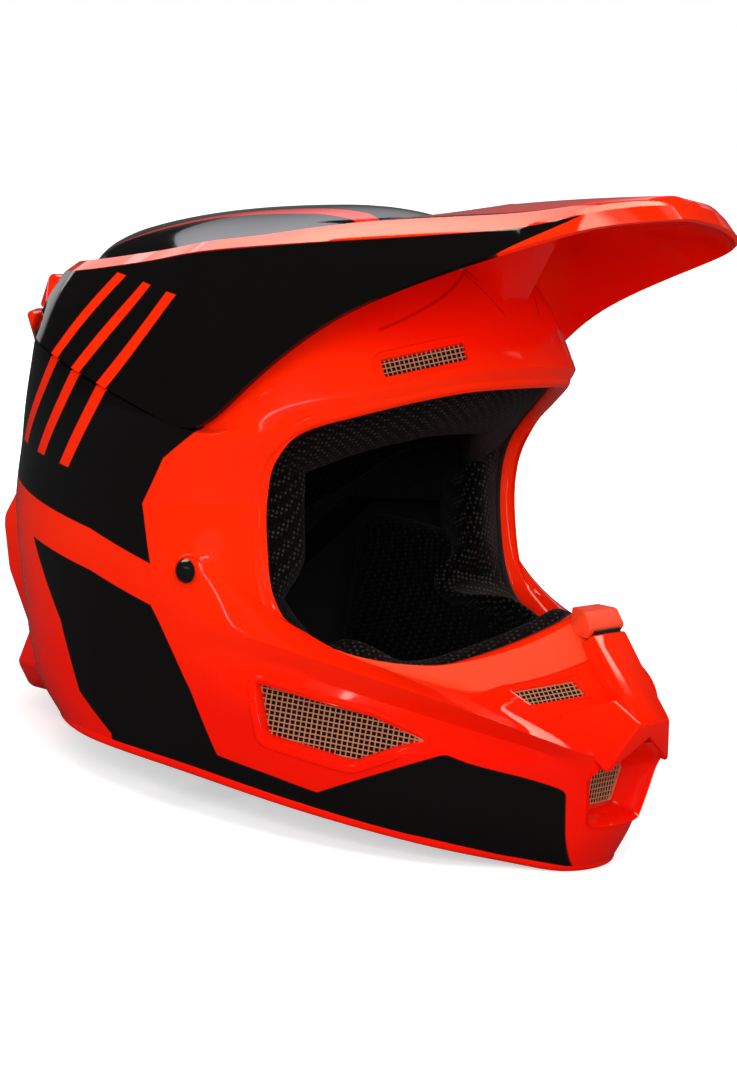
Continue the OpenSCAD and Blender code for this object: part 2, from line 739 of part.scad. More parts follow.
duct_in = 2 * duct_wall / (mouth_flat[3][0] - mouth_flat[0][0]);
module mouth_duct() {
  color(orange)
    moulded()
      difference() {
        intersection() {
          duct_form(0);
          shell_form(0.998);
        }
        translate([0.01, 0, 0]) duct_form(-duct_in);
        translate([-0.5, 0, 0]) duct_form(-duct_in);
      }
}

// Room in front of the nose guard, with clearance
module guard_room() {
  n = 6;
  pts = [for (i = [-n:n]) let (s = 3 * abs(i) / n, p = on_shell(line_port_low, line_shelf, s, 0.76))
    [p[0], i < 0 ? -p[1] : p[1]]];
  translate([0, 0, 67 * kz])
    linear_extrude(100)
      polygon(concat(pts, [[0, 100 * ky], [0, -100 * ky]]));
}

module mouth_meshes() {
  color(bronze) {
    both_sides()
      on_slot(slot_depth)
        net([for (p = [[-1, -1], [1, -1], [1, 1], [-1, 1]])
          [p[0] * (slot_size[0] / 2 - clearance), p[1] * (slot_size[1] / 2 - clearance)]], mesh_pitch);
    translate([(duct_back + 1) * kx, 0, 0])
      rotate([90, 0, 90])
        net([for (p = mouth_flat) let (k = duct_share - duct_in - 0.02) [p[0] * k, mix(mouth_z, p[1], k)]], mesh_pitch);
  }
}

module side_mesh() {
  on_side_vent(vent_depth)
    net([for (p = vent_flat) [mix(p[0], -36 * kx, 0.03), mix(p[1], 55 * kz, 0.04)]], mesh_pitch);
}

module side_mesh_left() {
  color(bronze) side_mesh();
}

module side_mesh_right() {
  color(bronze) mirror([0, 1, 0]) side_mesh();
}

module brow_mesh() {
  on_brow_vent(brow_depth)
    net([for (p = [[-1, -1], [1, -1], [1, 1], [-1, 1]])
      [p[0] * (brow_size[0] / 2 - clearance), p[1] * (brow_size[1] / 2 - clearance)]], mesh_pitch);
}

module brow_mesh_left() {
  color(bronze) brow_mesh();
}

module brow_mesh_right() {
  color(bronze) mirror([0, 1, 0]) brow_mesh();
}

spoiler_plan = [[-154, 64], [-163, 58], [-182, 28], [-182, -28], [-163, -58], [-154, -64]];
module rear_spoiler() {
  color(orange)
    moulded()
      difference() {
        intersection() {
          shell_form(1.093, false);
          side_prism([[-200, 177], [-174, 173], [-156, 188], [-150, 215], [-167, 213], [-200, 199]]);
          linear_extrude(300) polygon([for (p = spoiler_plan) [p[0] * kx, p[1] * ky]]);
        }
        shell_form(1.005);
        for (y = [-20, 20])
          translate([-200 * kx, y * ky - 12, 193 * kz]) cube([28 * kx, 24, 8]);
      }
}

// Upper bulge and lower lip of the diffuser
diffuser_bulge = [
  [-168, 30, 113], [-160, 48, 109], [-180, 18, 90], [-171, 44, 90], [-174, 16, 64], [-164, 43, 66],
  [-154, 16, 37], [-147, 41, 39], [-130, 50, 60], [-140, 50, 100]
];
diffuser_lip = [
  [-154, 16, 39], [-147, 41, 41], [-160, 16, 20], [-154, 39, 21], [-150, 32, 9], [-124, 52, 26], [-112, 30, 10],
  [-120, 40, 40]
];
module rear_diffuser() {
  color(orange)
    moulded()
      difference() {
        for (part = [diffuser_bulge, diffuser_lip]) corner_block(part);
        shell_form(1.004);
        for (y = [-26, 0, 26])
          translate([-200 * kx, y * ky - 8, 59 * kz]) cube([60 * kx, 16, 14]);
      }
}

module strap_rivets() {
  color(black)
    both_sides()
      translate(rivet_at)
        rotate([-90, 0, 0]) {
          translate([0, 0, clearance])
            intersection() {
              r = (rivet_head * rivet_head / 4 + rivet_dome * rivet_dome) / (2 * rivet_dome);
              translate([0, 0, rivet_dome - r]) sphere(r, $fn = 96);
              cylinder(h = rivet_dome + 1, d = rivet_head, $fn = 96);
            }
          translate([0, 0, inner_y - rivet_at[1] - clearance])
            cylinder(h = rivet_at[1] - inner_y + 2 * clearance + 0.2, d = rivet_shank, $fn = 64);
        }
}

module rivet_washers() {
  color(steel)
    both_sides()
      translate([rivet_at[0], inner_y - 2 * clearance - washer_h, rivet_at[2]])
        rotate([-90, 0, 0])
          cylinder(h = washer_h, d = rivet_head, $fn = 64);
}

// Section of a flat band: across direction a and thickness direction b
function band(p, a, b, w, t) = [
  p - a * w / 2 - b * t / 2, p + a * w / 2 - b * t / 2, p + a * w / 2 + b * t / 2, p - a * w / 2 + b * t / 2
];

// Strap down the side and across the opening, with its width along X
function strap_path(end) = [
  [strap_y / ky, rivet_at[2] / kz + 6], [strap_y / ky, 68], [strap_y / ky - 3, 45], [105, 26], [92, 14], [76, 9.5], [end, 9]
];
module strap(end) {
  l = strap_path(end);
  n = (len(l) - 1) * 3;
  sweep([
    for (i = [0:n])
      let (a = free_along(l, i / 3), b = free_along(l, min(i / 3 + 0.1, n / 3)),
        c = free_along(l, max(i / 3 - 0.1, 0)), d = (b - c) / norm(b - c),
        p = [rivet_at[0], a[0] * ky, a[1] * kz])
      band(p, [1, 0, 0], [0, -d[1], d[0]], strap_width, strap_thick)
  ]);
}

module strap_long() {
  color(cloth) mirror([0, 1, 0]) strap(-8);
}

loop_mid = ring_low_z + ring_rise / 2;
module strap_short() {
  color(cloth) {
    strap((ring_at[1] + loop_bore + loop_wall - 0.4) / ky);
    translate([ring_at[0], ring_at[1], 0])
      rotate([0, 90, 0])
        difference() {
          loop_tube(loop_bore + loop_wall, strap_width);
          loop_tube(loop_bore, strap_width + 2);
        }
  }
}

module loop_tube(r, long) {
  for (z = [ring_low_z, ring_low_z + ring_rise])
    translate([-z, 0, 0]) cylinder(h = long, r = r, center = true, $fn = 48);
  translate([-loop_mid, 0, 0]) cube([ring_rise, 2 * r, long], center = true);
}

// D-ring with its bar along X and its bow towards the right
module d_ring(z) {
  translate([ring_at[0], ring_at[1], z]) {
    rotate([0, 90, 0]) cylinder(h = ring_bar, d = ring_wire, center = true, $fn = 48);
    for (x = [-1, 1])
      translate([x * ring_bar / 2, 0, 0]) {
        sphere(d = ring_wire, $fn = 48);
        rotate([90, 0, 0]) cylinder(h = 6, d = ring_wire, $fn = 48);
      }
    translate([0, -6, 0])
      rotate([0, 0, 180])
        rotate_extrude(angle = 180, $fn = 64)
          translate([ring_bar / 2, 0]) circle(d = ring_wire, $fn = 32);
  }
}

module ring_upper() {
  color(steel) d_ring(ring_low_z + ring_rise);
}

module ring_lower() {
  color(steel) d_ring(ring_low_z);
}

outer_shell();
impact_liner();
chin_liner();
crown_pad();
cheek_pad_left();
cheek_pad_right();
neck_roll();
visor();
visor_mount();
visor_magnets();
magnet_plates();
nose_guard();
eyeport_trim();
mouth_vent();
mouth_duct();
mouth_meshes();
side_mesh_left();
side_mesh_right();
brow_mesh_left();
brow_mesh_right();
rear_spoiler();
rear_diffuser();
rim_trim();
strap_rivets();
rivet_washers();
strap_long();
strap_short();
ring_upper();
ring_lower();
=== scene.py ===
import math
import bpy
import bmesh
from mathutils import Matrix, Vector
from mathutils.bvhtree import BVHTree


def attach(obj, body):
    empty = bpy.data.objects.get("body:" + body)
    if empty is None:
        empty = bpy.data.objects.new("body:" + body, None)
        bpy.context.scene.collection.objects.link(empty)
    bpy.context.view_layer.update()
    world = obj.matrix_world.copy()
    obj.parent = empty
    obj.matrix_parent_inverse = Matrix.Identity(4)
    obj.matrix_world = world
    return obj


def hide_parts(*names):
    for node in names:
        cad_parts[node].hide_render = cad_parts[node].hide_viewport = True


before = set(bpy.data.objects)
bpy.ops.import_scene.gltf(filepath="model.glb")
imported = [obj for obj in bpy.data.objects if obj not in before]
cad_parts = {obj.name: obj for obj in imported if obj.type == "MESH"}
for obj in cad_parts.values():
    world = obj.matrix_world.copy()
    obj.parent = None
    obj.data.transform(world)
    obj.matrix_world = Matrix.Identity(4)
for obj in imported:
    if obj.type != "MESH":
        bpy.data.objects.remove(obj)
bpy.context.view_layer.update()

scene = bpy.context.scene
scene.view_settings.view_transform = "Standard"

MM = 0.001
CORE = Vector((-15, 0, 117))


def drawn(*points):
    """A line through points."""
    return [Vector(p) for p in points]


# Lines of the shell and the visor in millimetres, left half, from the front to the rear,
# and the outline of the eyeport from its upper to its lower middle
RIM = drawn((164, 0, 0), (159, 22, 0), (143, 44, 3), (118, 79, 9), (72, 107, 15),
            (15, 118, 19), (-45, 112, 18), (-83, 88, 17), (-104, 51, 12), (-118, 0, 0))
LOW = drawn((171, 0, 18), (166, 22, 17), (148, 45, 21), (122, 83, 27), (75, 111, 33),
            (15, 122, 38), (-48, 117, 37), (-95, 93, 33), (-126, 54, 28), (-139, 0, 22))
PANEL = drawn((175, 0, 37), (171, 23, 41), (153, 46, 49), (127, 84, 50), (78, 113, 53),
              (15, 125, 63), (-54, 119, 63), (-105, 94, 59), (-139, 51, 57), (-151, 0, 55))
UNDER = drawn((176, 0, 51), (172, 26, 51), (151, 46, 57), (120, 79, 66), (74, 106, 74),
              (12, 126, 81), (-57, 120, 83), (-112, 95, 83), (-151, 51, 85), (-164, 0, 86))
RIDGE = drawn((176, 0, 63), (174, 25, 57), (158, 48, 63), (129, 83, 75), (75, 110, 84),
              (10, 127, 91), (-60, 120, 97), (-115, 95, 101), (-158, 51, 104), (-172, 0, 106))
SHELF = drawn((160, 0, 87), (151, 30, 81), (132, 56, 77), (98, 81, 82), (54, 100, 93),
              (5, 127, 111), (-62, 119, 115), (-117, 94, 119), (-159, 51, 121), (-173, 0, 122))
PORT_LOW = drawn((138, 0, 113), (124, 34, 97), (100, 66, 85), (70, 91, 86), (40, 101, 98),
                 (-2, 126, 125), (-64, 118, 129), (-118, 93, 133), (-158, 52, 135), (-173, 0, 135))
MIDDLE = drawn((116, 0, 157), (107, 36, 153), (86, 65, 149), (56, 88, 145), (24, 102, 145),
               (-6, 125, 145), (-65, 118, 149), (-118, 94, 153), (-157, 55, 155), (-173, 0, 155))
SEAM = drawn((91, 0, 207), (85, 36, 205), (72, 57, 199), (54, 79, 189), (34, 101, 178),
             (0, 126, 171), (-60, 118, 178), (-112, 95, 183), (-155, 58, 186), (-173, 0, 188))
LEDGE = drawn((95, 0, 217), (89, 36, 215), (76, 58, 209), (57, 80, 199), (31, 103, 186),
              (0, 120, 172), (-59, 112, 179), (-109, 90, 184), (-151, 54, 187), (-169, 0, 189))
UPPER = drawn((78, 0, 241), (74, 32, 239), (62, 54, 234), (46, 76, 224), (22, 97, 213),
              (-8, 103, 211), (-64, 94, 207), (-111, 77, 203), (-147, 47, 200), (-164, 0, 201))
SHOULDER = drawn((64, 0, 256), (60, 28, 254), (50, 48, 250), (36, 67, 248), (13, 82, 248),
                 (-16, 86, 246), (-70, 77, 230), (-110, 62, 218), (-145, 40, 211), (-162, 0, 213))
CROWN = drawn((52, 0, 262), (48, 20, 263), (40, 34, 264), (27, 44, 266), (6, 50, 267),
              (-20, 51, 265), (-68, 48, 254), (-108, 40, 241), (-143, 26, 229), (-163, 0, 222))
SPINE = drawn((46, 0, 265), (40, 0, 268), (32, 0, 271), (20, 0, 274), (2, 0, 275),
              (-25, 0, 272), (-66, 0, 264), (-105, 0, 254), (-140, 0, 241), (-163, 0, 227))
WING_CREASE = drawn((-14, 93, 252), (-70, 83, 236), (-114, 70, 224), (-150, 48, 216), (-168, 0, 214))
BRIM_EDGE = drawn((157, 0, 296), (153, 22, 294), (146, 56, 290), (134, 91, 280), (95, 102, 259),
                  (51, 109, 232), (20, 118, 199))
BRIM_CREASE = drawn((153, 0, 301), (149, 24, 300), (141, 58, 295), (128, 86, 286), (90, 94, 276),
                    (51, 95, 267), (20, 95, 260))
BRIM_TOP = drawn((150, 0, 303), (146, 25, 302), (137, 57, 298), (121, 80, 291), (86, 87, 283),
                 (50, 88, 275), (20, 88, 267))
BRIM_ROOF = drawn((147, 0, 303), (135, 0, 301), (115, 0, 298), (92, 0, 294), (68, 0, 288),
                  (44, 0, 279), (25, 62, 270.5))
PORT = drawn((91, 0, 207), (85, 36, 205), (72, 57, 199), (54, 79, 189), (38, 97, 179), (25, 102, 165),
             (23, 102, 147), (27, 102, 125), (35, 102, 104), (52, 98, 88), (80, 85, 83), (102, 65, 84),
             (112, 50, 88), (124, 33, 97), (134, 15, 107), (138, 0, 113))
# Patches of the shell from the rim up, with an edge where two of them meet
PATCHES = [[RIM, LOW, PANEL], [PANEL, UNDER], [UNDER, RIDGE], [RIDGE, SHELF, PORT_LOW, MIDDLE, SEAM],
           [SEAM, LEDGE], [LEDGE, UPPER, SHOULDER, CROWN, SPINE]]


def flip(p):
    """Mirror image of a point."""
    return Vector((p.x, -p.y, p.z))


def curve(a, b, c, d, t):
    """Point at t between b and c of a smooth curve through four points."""
    square, cube = 2 * a - 5 * b + 4 * c - d, 3 * b - a - 3 * c + d
    return 0.5 * (2 * b + (c - a) * t + square * t * t + cube * t ** 3)


def along(line, s):
    """Point at station s of a line that crosses the middle plane squarely at both ends."""
    n = len(line) - 1
    i = min(int(s), n - 1)
    before = line[i - 1] if i > 0 else flip(line[1])
    after = line[i + 2] if i + 2 <= n else flip(line[n - 1])
    return curve(before, line[i], line[i + 1], after, s - i)


def free_along(line, s):
    """Point at station s of a line with free ends."""
    n = len(line) - 1
    i = max(0, min(int(s), n - 1))
    a, b = line[i], line[i + 1]
    before = line[i - 1] if i > 0 else 2 * a - b
    after = line[i + 2] if i + 2 <= n else 2 * b - a
    return curve(before, a, b, after, s - i)


def on_patch(k, s, t):
    """Point of the shell at station s, t lines up in patch k."""
    column = [along(line, s) for line in PATCHES[k]]
    return column[0].lerp(column[1], t) if len(column) == 2 else free_along(column, t)


def between(low, high, s, t):
    """Point at station s, a share t of the way from one line to another."""
    return along(low, s).lerp(along(high, s), t)


# Mesh helpers: everything is drawn in millimetres and made metres by piece()
def grid(columns, rows, place, weld=0.02):
    """Quads whose corner (i, j) goes to place(i, j); corners that meet are joined."""
    bm = bmesh.new()
    bmesh.ops.create_grid(bm, x_segments=columns, y_segments=rows, size=0.5)
    at = bm.verts.layers.float_vector.new("at")
    uv = bm.loops.layers.uv.new("UVMap")
    for v in bm.verts:
        i, j = round((v.co.x + 0.5) * columns), round((v.co.y + 0.5) * rows)
        v[at] = (i, j, 0)
        v.co = place(i, j)
        for loop in v.link_loops:
            loop[uv].uv = (i / columns, j / rows)
    bmesh.ops.remove_doubles(bm, verts=bm.verts, dist=weld)
    bmesh.ops.dissolve_degenerate(bm, edges=bm.edges, dist=0.001)
    return bm


def crease(bm, amount):
    """Creases each edge by amount(first corner, second corner) of its place in the grid."""
    layer = bm.edges.layers.float.new("crease_edge")
    at = bm.verts.layers.float_vector["at"]
    for e in bm.edges:
        e[layer] = amount(e.verts[0][at], e.verts[1][at])


def without_poles(bm):
    """Dissolves the corners with two edges that joined columns leave inside a skin."""
    poles = [v for v in bm.verts if len(v.link_edges) == 2 and not v.is_boundary]
    bmesh.ops.dissolve_verts(bm, verts=poles)
    return bm


def closed(bm):
    """Fills the open ends of a skin."""
    bmesh.ops.holes_fill(bm, edges=[e for e in bm.edges if e.is_boundary])
    return bm


def hulled(bm):
    """Leaves only the convex hull."""
    made = bmesh.ops.convex_hull(bm, input=bm.verts)
    spare = set(made["geom_interior"] + made["geom_unused"])
    bmesh.ops.delete(bm, geom=list(spare), context="VERTS")
    return bm


def prism(loop, push, share=1.0):
    """Solid from a closed loop, pushed along a vector and narrowed to a share of its width."""
    bm = bmesh.new()
    bmesh.ops.create_circle(bm, segments=len(loop), radius=1, cap_ends=True)
    for v, p in zip(bm.verts, loop):
        v.co = p
    made = bmesh.ops.extrude_face_region(bm, geom=bm.faces[:])["geom"]
    far = [v for v in made if isinstance(v, bmesh.types.BMVert)]
    middle = sum((v.co for v in far), Vector()) / len(far)
    for v in far:
        v.co = middle + (v.co - middle) * share + push
    bmesh.ops.recalc_face_normals(bm, faces=bm.faces)
    return bm


def block(points, round_by, segments=3):
    """Convex block through a few corners given for the left half, with rounded edges."""
    bm = bmesh.new()
    for p in points:
        for side in ((1, -1) if p[1] else (1,)):
            bmesh.ops.create_vert(bm, co=(p[0], p[1] * side, p[2]))
    hulled(bm)
    bmesh.ops.dissolve_limit(bm, angle_limit=math.radians(2), verts=bm.verts, edges=bm.edges)
    bmesh.ops.bevel(bm, geom=bm.edges[:], offset=round_by, affect="EDGES", segments=segments,
                    profile=0.5, material=-1, clamp_overlap=True)
    bmesh.ops.recalc_face_normals(bm, faces=bm.faces)
    return bm


def piece(name, bm, paint, body="helmet", stands_for=(), sharp=40):
    """Makes a finished mesh of a bmesh, gives it its paint and lets it ride on its body."""
    bmesh.ops.recalc_face_normals(bm, faces=bm.faces)
    bmesh.ops.scale(bm, vec=(MM, MM, MM), verts=bm.verts)
    mesh = bpy.data.meshes.new(name)
    bm.to_mesh(mesh)
    bm.free()
    obj = bpy.data.objects.new(name, mesh)
    scene.collection.objects.link(obj)
    keep_sharp(obj, sharp)
    if paint:
        mesh.materials.append(paint)
        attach(obj, body)
        if stands_for:
            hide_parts(*stands_for)
    return obj


def keep_sharp(obj, degrees):
    """Smooth shading, but for the edges that turn by more than an angle."""
    bm = bmesh.new()
    bm.from_mesh(obj.data)
    for e in bm.edges:
        e.smooth = len(e.link_faces) == 2 and e.calc_face_angle(0) < math.radians(degrees)
    for f in bm.faces:
        f.smooth = True
    bm.to_mesh(obj.data)
    bm.free()


def finer(obj, levels):
    """Smooths a piece by subdivision."""
    m = obj.modifiers.new("Finer", "SUBSURF")
    m.levels = m.render_levels = levels
    return obj


def thicken(obj, depth, even=True, inside=0):
    """Gives a skin a wall inwards; inside is the number of the inner face's paint."""
    m = obj.modifiers.new("Wall", "SOLIDIFY")
    m.thickness = depth * MM
    m.offset = -1
    m.use_even_offset = even
    m.use_quality_normals = True
    m.material_offset = inside
    return obj


def soften(obj, width, angle, segments=2):
    """Rounds the edges that turn by more than an angle."""
    m = obj.modifiers.new("Edge", "BEVEL")
    m.width = width * MM
    m.segments = segments
    m.limit_method = "ANGLE"
    m.angle_limit = math.radians(angle)
    m.use_clamp_overlap = True
    return obj


def cut(obj, bm, keep=False):
    """Takes a solid out of a piece, or keeps only what is inside it."""
    tool = piece("cutter", bm, None)
    m = obj.modifiers.new("Cut", "BOOLEAN")
    m.operation = "INTERSECT" if keep else "DIFFERENCE"
    m.solver = "MANIFOLD"
    m.object = tool
    settle(obj)
    bpy.data.objects.remove(tool)


def settle(obj):
    """Applies the modifiers of a piece."""
    graph = bpy.context.evaluated_depsgraph_get()
    graph.update()
    mesh = bpy.data.meshes.new_from_object(obj.evaluated_get(graph))
    old = obj.data
    obj.modifiers.clear()
    obj.data = mesh
    mesh.name = old.name
    bpy.data.meshes.remove(old)
    return obj


# Finishes
class Wire:
    """A value in the nodes of a material or the world. Arithmetic on it adds Math nodes."""

    def __init__(self, tree, socket=None):
        self.tree, self.socket = tree, socket

    def node(self, kind, settings=None, inputs=None, out=0):
        """Any other node: its settings first, then the values or links of its sockets."""
        made = self.tree.nodes.new("ShaderNode" + kind)
        for key, value in (settings or {}).items():
            setattr(made, key, value)
        for key, value in (inputs or {}).items():
            if isinstance(value, Wire):
                self.tree.links.new(value.socket, made.inputs[key])
            else:
                made.inputs[key].default_value = value
        return Wire(self.tree, made.outputs[out] if len(made.outputs) else None)

    def other(self, out):
        """Another output of the node that this value comes from."""
        return Wire(self.tree, self.socket.node.outputs[out])

    def math(self, operation, other=0.0, third=0.0, clamp=False):
        settings = {"operation": operation, "use_clamp": clamp}
        return self.node("Math", settings, {0: self, 1: other, 2: third})

    def __add__(self, other):
        return self.math("ADD", other)

    def __sub__(self, other):
        return self.math("SUBTRACT", other)

    def __rsub__(self, other):
        return self.node("Math", {"operation": "SUBTRACT"}, {0: other, 1: self})

    def __mul__(self, other):
        return self.math("MULTIPLY", other)

    def __truediv__(self, other):
        return self.math("DIVIDE", other)

    def __pow__(self, other):
        return self.math("POWER", other)

    def __abs__(self):
        return self.math("ABSOLUTE")

    __radd__ = __add__
    __rmul__ = __mul__

    def below(self, *others, soft=0.0):
        """The smallest of several values, its corners rounded by soft."""
        least = self
        for other in others:
            least = least.math("SMOOTH_MIN", other, soft) if soft else least.math("MINIMUM", other)
        return least

    def above(self, *others):
        """The largest of several values."""
        most = self
        for other in others:
            most = most.math("MAXIMUM", other)
        return most

    def clamped(self):
        """The value, kept between 0 and 1."""
        return self.math("ADD", 0.0, clamp=True)

    def mask(self, feather=0.25):
        """0 outside and 1 inside an edge where the value is 0."""
        return (self * (0.5 / feather)).math("ADD", 0.5, clamp=True)

    def colours(self, low, high):
        """A colour that goes from low to high with this value."""
        low, high = [c if isinstance(c, Wire) else (*c, 1) for c in (low, high)]
        return self.node("Mix", {"data_type": "RGBA"}, {0: self, 6: low, 7: high}, out=2)

    def noise(self, scale, detail=2.0):
        return self.node("TexNoise", {}, {"Vector": self, "Scale": scale, "Detail": detail})

    def axes(self):
        """The three numbers of a place in metres, in millimetres."""
        parts = self.node("SeparateXYZ", {}, {"Vector": self})
        return [parts.other(k) * 1000 for k in range(3)]

    def bump(self, strength, distance):
        return self.node("Bump", {}, {"Height": self, "Strength": strength, "Distance": distance})


def bare(owner):
    """Clears the nodes of a material or the world, to build on."""
    owner.use_nodes = True
    owner.node_tree.nodes.clear()
    return Wire(owner.node_tree)


def finish(name, make):
    """A material whose surface comes from make(place, uv): Object coordinates and the piece's own map."""
    made = bpy.data.materials.new(name)
    start = bare(made)
    place = start.node("TexCoord", out="Object")
    surface = start.node("BsdfPrincipled", {}, make(place, place.other("UV")))
    start.node("OutputMaterial", {}, {"Surface": surface})
    return made


def side_line(x, z, a, b):
    """Distance to the left of the line from a to b, seen from the side."""
    dx, dz = b[0] - a[0], b[1] - a[1]
    n = math.hypot(dx, dz)
    return (z - a[1]) * (dx / n) - (x - a[0]) * (dz / n)


ORANGE = (1.0, 0.027, 0.001)
DEEP_ORANGE = (0.94, 0.015, 0.0005)
# Painted shade of the orange lacquer, towards the rim and under the brim
SHADED_ORANGE = (0.88, 0.006, 0.0005)
# Painted shade along the folds of the forehead
FOLD_SHADE_ORANGE = (0.3, 0.002, 0.0003)
BLACK = (0.0035, 0.003, 0.0028)


def orange_tint(place, brim_shade=True):
    """Fluorescent orange with painted shade: redder towards the rim and, when asked, under the brim."""
    x, _, z = place.axes()
    painted_shade = ((112 - z) / 60).clamped()
    if brim_shade:
        painted_shade = painted_shade.above(((z - 208) / 20).below((x - 25) / 20, 1.0))
    return painted_shade.colours(place.noise(18.0).colours(DEEP_ORANGE, ORANGE), SHADED_ORANGE)


def gloss(place, colour, rough=0.07):
    """Glossy lacquer with a faint orange-peel surface and slight changes in its shine."""
    peel = place.noise(420.0, 1.0)
    return {"Base Color": colour, "Roughness": place.noise(60.0) * 0.04 + (rough - 0.02),
            "Normal": peel.bump(0.03, 0.0003), "Specular IOR Level": 0.4}


def lacquer(place, uv):
    """Plain orange lacquer, with painted shade towards the rim and under the brim."""
    return gloss(place, orange_tint(place))


BAR_FOOT, BAR_RUN = (-112, 178), (30, 62)
BAR_STEP, BAR_HALF = 24, 3.6


def bars(x, z):
    """Three slanted parallel bars across the side."""
    made = []
    for k in range(3):
        foot = (BAR_FOOT[0] + BAR_STEP * k, BAR_FOOT[1])
        head = (foot[0] + BAR_RUN[0], foot[1] + BAR_RUN[1])
        made.append(BAR_HALF - abs(side_line(x, z, foot, head)))
    return made[0].above(*made[1:]).below(z - 138, 226 - z)


def shell_pattern(place, uv):
    """Orange lacquer with black fields whose edges run through points seen from the side."""
    x, y, z = place.axes()

    def chain(*points):
        return [side_line(x, z, a, b) for a, b in zip(points, points[1:])]
    # Field behind the eyeport
    low = chain((-103, 117), (-56, 115), (-14, 108.6))
    front = chain((-14, 108.6), (-24.5, 133.8), (-16.4, 156.3), (-1.4, 171.2))
    upper = low[0].above(low[1]).below(front[0].above(*front[1:]), -1.4 - x, 222 - z)
    # Field below the ridge, and the strip along the rim in front of it
    edges = chain((32.1, 31.5), (15.8, 57.7), (-5.6, 84.8), (-10.9, 90.4), (-51.5, 96.7), (-103, 99.6))
    rear = chain((-103, 99.6), (-70.8, 68), (-52.8, 39))
    lower = edges[0].below(*edges[1:], *chain((-52.8, 39), (-29.4, 24.4)), rear[0].above(rear[1]))
    base = chain((79.3, 25.7), (58.6, 28.8), (32.1, 31.5))
    strip = base[0].below(base[1], x + 30, 84 - x)
    # Jaw, with soft corners
    chin = chain((158.4, 41.1), (143.2, 47.1), (126.4, 52.8), (104.9, 40.6), (79.3, 25.7))[::-1]
    jaw = chin[0].below(*chin[1:], soft=2.0).below(162 - x, soft=4.0).below(x - 60)
    # Stripes over the dome
    out = abs(y)
    reach = out - (x - 5).above(0.0) * 0.5
    dome = (26 - reach).above(reach - 40 + (-25 - x).above(0.0) * 0.12)
    dome = dome.below(z - x * 0.25 - 249, 42 - x)
    stripe = bars(x, z).below(196 - z).mask()
    black = upper.above(lower, strip, jaw, dome).mask() * (1 - stripe)
    # Painted shade along two folds of the forehead, seen from the front
    fold_shades = []
    for a, b in (((70.4, 226.5), (25.4, 254)), ((25.4, 254), (14, 238))):
        near = 0.35 - abs(side_line(out, z, a, b))
        fold_shades.append(near.below(out - b[0], a[0] - out, x - 30))
    fold_shade = fold_shades[0].above(fold_shades[1]).mask(0.4) * 0.6
    orange = fold_shade.colours(orange_tint(place), FOLD_SHADE_ORANGE)
    return gloss(place, black.colours(orange, BLACK), 0.065)


VISOR_STATIONS, VISOR_ROWS = 13, 5


def visor_pattern(place, uv):
    """Orange lacquer with a black wing and a black band along the crease, laid on the visor's own map."""
    x, _, z = place.axes()
    parts = uv.node("SeparateXYZ", {}, {"Vector": uv})
    station, row = parts.other(0) * VISOR_STATIONS, parts.other(1) * VISOR_ROWS
    wing = (2 - row).below(row - 2 + (station - 2.1) * 1.6)
    band = (row - 3.02).below(((station - 1.6) * 0.09).below(0.5) + 3 - row)
    black = wing.above(band).mask(0.02) * (1 - bars(x, z).mask())
    return gloss(place, black.colours(orange_tint(place, brim_shade=False), BLACK), 0.06)


def rubber_orange(place, uv):
    """Matt orange rubber with a fine grain."""
    grain = place.noise(1500.0, 3.0)
    return {"Base Color": place.noise(30.0).colours((0.86, 0.045, 0.009), (0.96, 0.06, 0.014)),
            "Roughness": grain * 0.12 + 0.42, "Normal": grain.bump(0.12, 0.0002),
            "Specular IOR Level": 0.4}


def seal_black(place, uv):
    """Matt black rubber with a fine grain."""
    grain = place.noise(900.0, 3.0)
    return {"Base Color": place.noise(40.0).colours((0.006, 0.006, 0.006), (0.013, 0.012, 0.012)),
            "Roughness": grain * 0.15 + 0.4, "Normal": grain.bump(0.15, 0.0002),
            "Specular IOR Level": 0.3}


def foam_beads(place, uv):
    """Black foam of small beads."""
    cells = place.node("TexVoronoi", {}, {"Vector": place, "Scale": 330.0})
    return {"Base Color": cells.colours((0.009, 0.009, 0.01), (0.005, 0.005, 0.0055)),
            "Roughness": cells * 0.2 + 0.6, "Normal": (1 - cells).bump(0.4, 0.0006),
            "Specular IOR Level": 0.2}


def knit(coords, pitch, yarn_tone_with_painted_light):
    """Open knitted mesh: slanted rows of small raised stitches over a dark ground; the stitches are
    painted lighter, partly as painted highlights on the yarn.
    """
    turned = coords.node("Mapping", {}, {"Vector": coords, "Rotation": (0.35, 0.3, 0.6)})
    cells = turned.node("TexVoronoi", {}, {"Vector": turned, "Scale": 1 / pitch, "Randomness": 0.2})
    stitch = (0.4 - cells).math("MULTIPLY", 4.5, clamp=True)
    yarn = turned.noise(2600.0, 2.0)
    height = stitch * 0.8 + yarn * 0.2
    return {"Base Color": stitch.colours((0.0015, 0.0014, 0.0013), yarn_tone_with_painted_light),
            "Roughness": yarn * 0.2 + 0.68, "Normal": height.bump(0.75, 0.0008),
            "Specular IOR Level": 0.15, "Sheen Weight": 0.02, "Sheen Roughness": 0.5}


def webbing_weave(place, uv):
    """Black woven webbing."""
    x, y, z = place.axes()
    run = z - y * 0.7
    weave = (x * 2.2 + run.math("SINE") * 0.6).math("SINE") * (run * 1.9).math("SINE")
    return {"Base Color": (weave * 0.5 + 0.5).colours((0.006, 0.006, 0.0065), (0.02, 0.02, 0.021)),
            "Roughness": weave * 0.1 + 0.62, "Normal": weave.bump(0.5, 0.0004),
            "Specular IOR Level": 0.25, "Sheen Weight": 0.2}


def bronze_wire(place, uv):
    """Bronze lacquer of the wires of the nets."""
    grain = place.noise(700.0, 3.0)
    return {"Base Color": grain.colours((0.44, 0.2, 0.1), (0.6, 0.3, 0.16)), "Metallic": 0.2,
            "Roughness": grain * 0.2 + 0.35, "Normal": grain.bump(0.1, 0.0001)}


